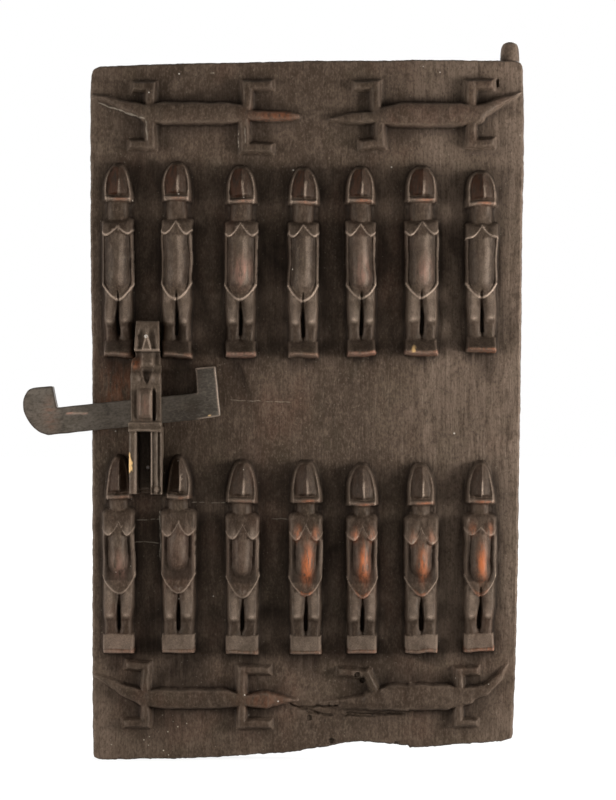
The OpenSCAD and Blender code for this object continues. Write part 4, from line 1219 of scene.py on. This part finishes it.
def build_bolt():
    outline = np.concatenate([rounded(HOOK, 4), np.array(BAR)])
    n = len(outline)
    points = np.concatenate([np.column_stack([outline, np.full(n, z)]) for z in (BOLT_LOW, BOLT_HIGH)]) * MM
    mesh = bpy.data.meshes.new("carved_bolt")
    faces = [list(range(n))[::-1], list(range(n, 2 * n))]
    faces += [[k, (k + 1) % n, n + (k + 1) % n, n + k] for k in range(n)]
    mesh.from_pydata(points.tolist(), [], [f[::-1] for f in faces])
    bolt = new_object("carved_bolt", mesh)
    apply(bolt, "BEVEL", width=1.2 * MM, segments=2, limit_method="ANGLE", angle_limit=math.radians(40))
    apply(bolt, "REMESH", mode="VOXEL", voxel_size=BOLT_VOXEL * MM)
    co = vertices(bolt) / MM
    bx, by, bz = co.T
    wobble = 0.16 * noise(bx, by, 9, 7, 71) + 0.1 * noise(bx, by, 20, 3, 72)
    normals = np.empty(len(co) * 3, dtype=np.float32)
    bolt.data.vertices.foreach_get("normal", normals)
    co = co + normals.reshape(-1, 3) * (wobble - 0.2)[:, None]
    edge = np.full(len(co), 99.0)
    for (x0, y0), (x1, y1) in zip(outline, np.roll(outline, -1, axis=0)):
        edge = np.minimum(edge, along_segment(bx, by, x0, y0, x1, y1)[1])
    wear_and_highlight = smooth(2.4, 0.6, edge) * smooth(15.5, 17.6, bz)
    c, s = math.cos(TILT), math.sin(TILT)
    fx, fy = c * co[:, 0] - s * co[:, 1], s * co[:, 0] + c * co[:, 1]
    world = to_world(fx + LOCK_X, fy + LOCK_Y, co[:, 2])
    bolt.data.vertices.foreach_set("co", np.ascontiguousarray(world, dtype=np.float32).ravel())
    if sum_volume(bolt) < 0:
        bolt.data.flip_normals()
    bolt.data.update()
    scratch = smooth(1.3, 0.6, np.abs(by - 4.6 + 0.1 * (bx + 70)))
    scratch = scratch * smooth(-82, -78, bx) * smooth(-58, -62, bx)
    # Painted shade: darker toward the back, along two stretches of the bar and on the hook's outer edges; and
    # a painted highlight on the grip's front edges
    shade = 0.5 * smooth(-5, 40, bx) * smooth(66, 50, bx) + 0.3 * smooth(-75, -45, bx) * smooth(-15, -40, bx)
    bolt_shade = 0.3 * smooth(4, 1.0, bz) + 0.5 * shade + 0.5 * wear_and_highlight * smooth(-60, -85, bx)
    values = {"wear_and_highlight": np.maximum(0.8 * wear_and_highlight * smooth(45, 55, bx), 0.7 * scratch * (bz > 16)),
              "dirt_and_shade": np.clip(bolt_shade, 0, 1), "pink": 0.9 * scratch * (bz > 16),
              "warm": 0.12 * spot(bx, by, -96, 6, 6, 14),
              "pale": 0.9 * smooth(0.4, 0.8, spot(bx, by, 60.5, -11.2, 1.8, 1.0)) * (bz > 14),
              "grey": np.clip(0.6 + 0.3 * noise(bx, by, 30, 12, 73) - 0.6 * smooth(-30, 20, bx), 0, 1),
              "dust": np.zeros_like(bx)}
    set_attributes(bolt, values)
    for side in PIN_SIDES:
        shift = SOCKET_X + side
        top = BAR_TOP + shift * math.tan(TILT)
        drill(bolt, shift, top - SOCKET_REACH, top + SOCKET_REACH, SOCKET_R)
    finish_mesh(bolt, BOLT_WOOD, ["lock_bolt"], "bolt")


def sum_volume(obj):
    co = vertices(obj)
    obj.data.calc_loop_triangles()
    tri = np.empty(len(obj.data.loop_triangles) * 3, dtype=np.int32)
    obj.data.loop_triangles.foreach_get("vertices", tri)
    a, b, c = (co[tri[k::3]] for k in range(3))
    return float(np.einsum("ij,ij->i", a, np.cross(b, c)).sum())


def dress_iron():
    for node, material in (("lock_nail_top", BRIGHT_IRON), ("lock_nail_bottom", DARK_IRON),
                           ("tumbler_pin_left", DARK_IRON), ("tumbler_pin_right", DARK_IRON)):
        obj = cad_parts[node]
        obj.data.materials.clear()
        obj.data.materials.append(material)


# Stage: camera, lamps, pale floor
CAMERA_AWAY = 2.3
CAMERA_LENS = 103.5
CAMERA_SENSOR = 36.0
CENTRE_X = -0.203
CENTRE_Z = -0.340
LAMPS = [("left_softbox", (-1.5, -0.6, 0.0), 0.5, 19.0), ("right_softbox", (1.5, -0.6, 0.0), 0.5, 35.5),
         ("rear_softbox", (0.3, 1.5, 1.1), 1.0, 34.0)]
FILL = 0.15
FLOOR_REACH = 12.0
FLOOR_GREY = 0.8
FLOOR_GLOW = 1.2
# Distances from the door between which the floor's shadow fades into white
SHADOW_NEAR, SHADOW_FAR = 0.3, 1.0
SHADOW_SHARE = 0.75


def looked_at(tree):
    """One for rays that come from the camera, also by way of gloss or glass."""
    path = add_node(tree, "ShaderNodeLightPath")
    seen = path.outputs["Is Camera Ray"]
    for ray in ("Is Glossy Ray", "Is Transmission Ray"):
        either = add_node(tree, "ShaderNodeMath", {0: seen, 1: path.outputs[ray]}, operation="MAXIMUM")
        seen = either.outputs[0]
    return seen


def build_stage():
    camera = bpy.data.cameras.new("camera")
    camera.lens = CAMERA_LENS
    camera.sensor_width = CAMERA_SENSOR
    eye = new_object("camera", camera)
    eye.location = (CENTRE_X, FACE - CAMERA_AWAY, CENTRE_Z)
    eye.rotation_euler = (math.pi / 2, 0, 0)
    bpy.context.scene.camera = eye

    for name, place, size, power in LAMPS:
        lamp = bpy.data.lights.new(name, "AREA")
        lamp.shape = "SQUARE"
        lamp.size = size
        lamp.energy = power
        obj = new_object(name, lamp)
        obj.location = (CENTRE_X + place[0], FACE + place[1], CENTRE_Z + place[2])
        aim = Vector((CENTRE_X, FACE, CENTRE_Z)) - obj.location
        obj.rotation_euler = aim.to_track_quat("-Z", "Y").to_euler()

    world = bpy.data.worlds.new("studio")
    bpy.context.scene.world = world
    world.use_nodes = True
    tree = world.node_tree
    level = add_node(tree, "ShaderNodeMapRange", {"Value": looked_at(tree), "To Min": FILL, "To Max": 1.0})
    tree.links.new(level.outputs["Result"], tree.nodes["Background"].inputs["Strength"])
    tree.nodes["Background"].inputs["Color"].default_value = (1, 1, 1, 1)

    corners = [(CENTRE_X + sx * FLOOR_REACH, FACE + sy * FLOOR_REACH, FOOT)
               for sx, sy in ((-1, -1), (1, -1), (1, 1), (-1, 1))]
    mesh = bpy.data.meshes.new("floor")
    mesh.from_pydata(corners, [], [(0, 1, 2, 3)])
    floor = new_object("floor", mesh)
    paint = bpy.data.materials.new("floor_paint")
    paint.use_nodes = True
    tree = paint.node_tree
    shader = tree.nodes["Principled BSDF"]
    shader.inputs["Base Color"].default_value = (FLOOR_GREY, FLOOR_GREY, FLOOR_GREY, 1)
    shader.inputs["Roughness"].default_value = 0.9
    shader.inputs["Specular IOR Level"].default_value = 0.1
    place = add_node(tree, "ShaderNodeTexCoord").outputs["Object"]
    away = add_node(tree, "ShaderNodeVectorMath", {0: place, 1: (CENTRE_X, FACE, FOOT)}, operation="DISTANCE")
    share = add_node(tree, "ShaderNodeMapRange", {
        "Value": away.outputs["Value"], "From Min": SHADOW_NEAR, "From Max": SHADOW_FAR,
        "To Min": SHADOW_SHARE, "To Max": 1.0})
    factor = add_node(tree, "ShaderNodeMath", {0: looked_at(tree), 1: share.outputs["Result"]},
                      operation="MULTIPLY")
    glow = add_node(tree, "ShaderNodeEmission", {"Strength": FLOOR_GLOW})
    parts = {0: factor.outputs[0], 1: shader.outputs[0], 2: glow.outputs[0]}
    mix = add_node(tree, "ShaderNodeMixShader", parts)
    tree.links.new(mix.outputs[0], tree.nodes["Material Output"].inputs["Surface"])
    mesh.materials.append(paint)
    floor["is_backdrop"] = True


build_stage()
build_panel()
build_case()
build_bolt()
dress_iron()
bpy.context.scene.view_settings.view_transform = "Standard"

boxes = {"cad": cad_box, "visual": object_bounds()}
{key: [[float(c) for c in corner] for corner in value] for key, value in boxes.items()}
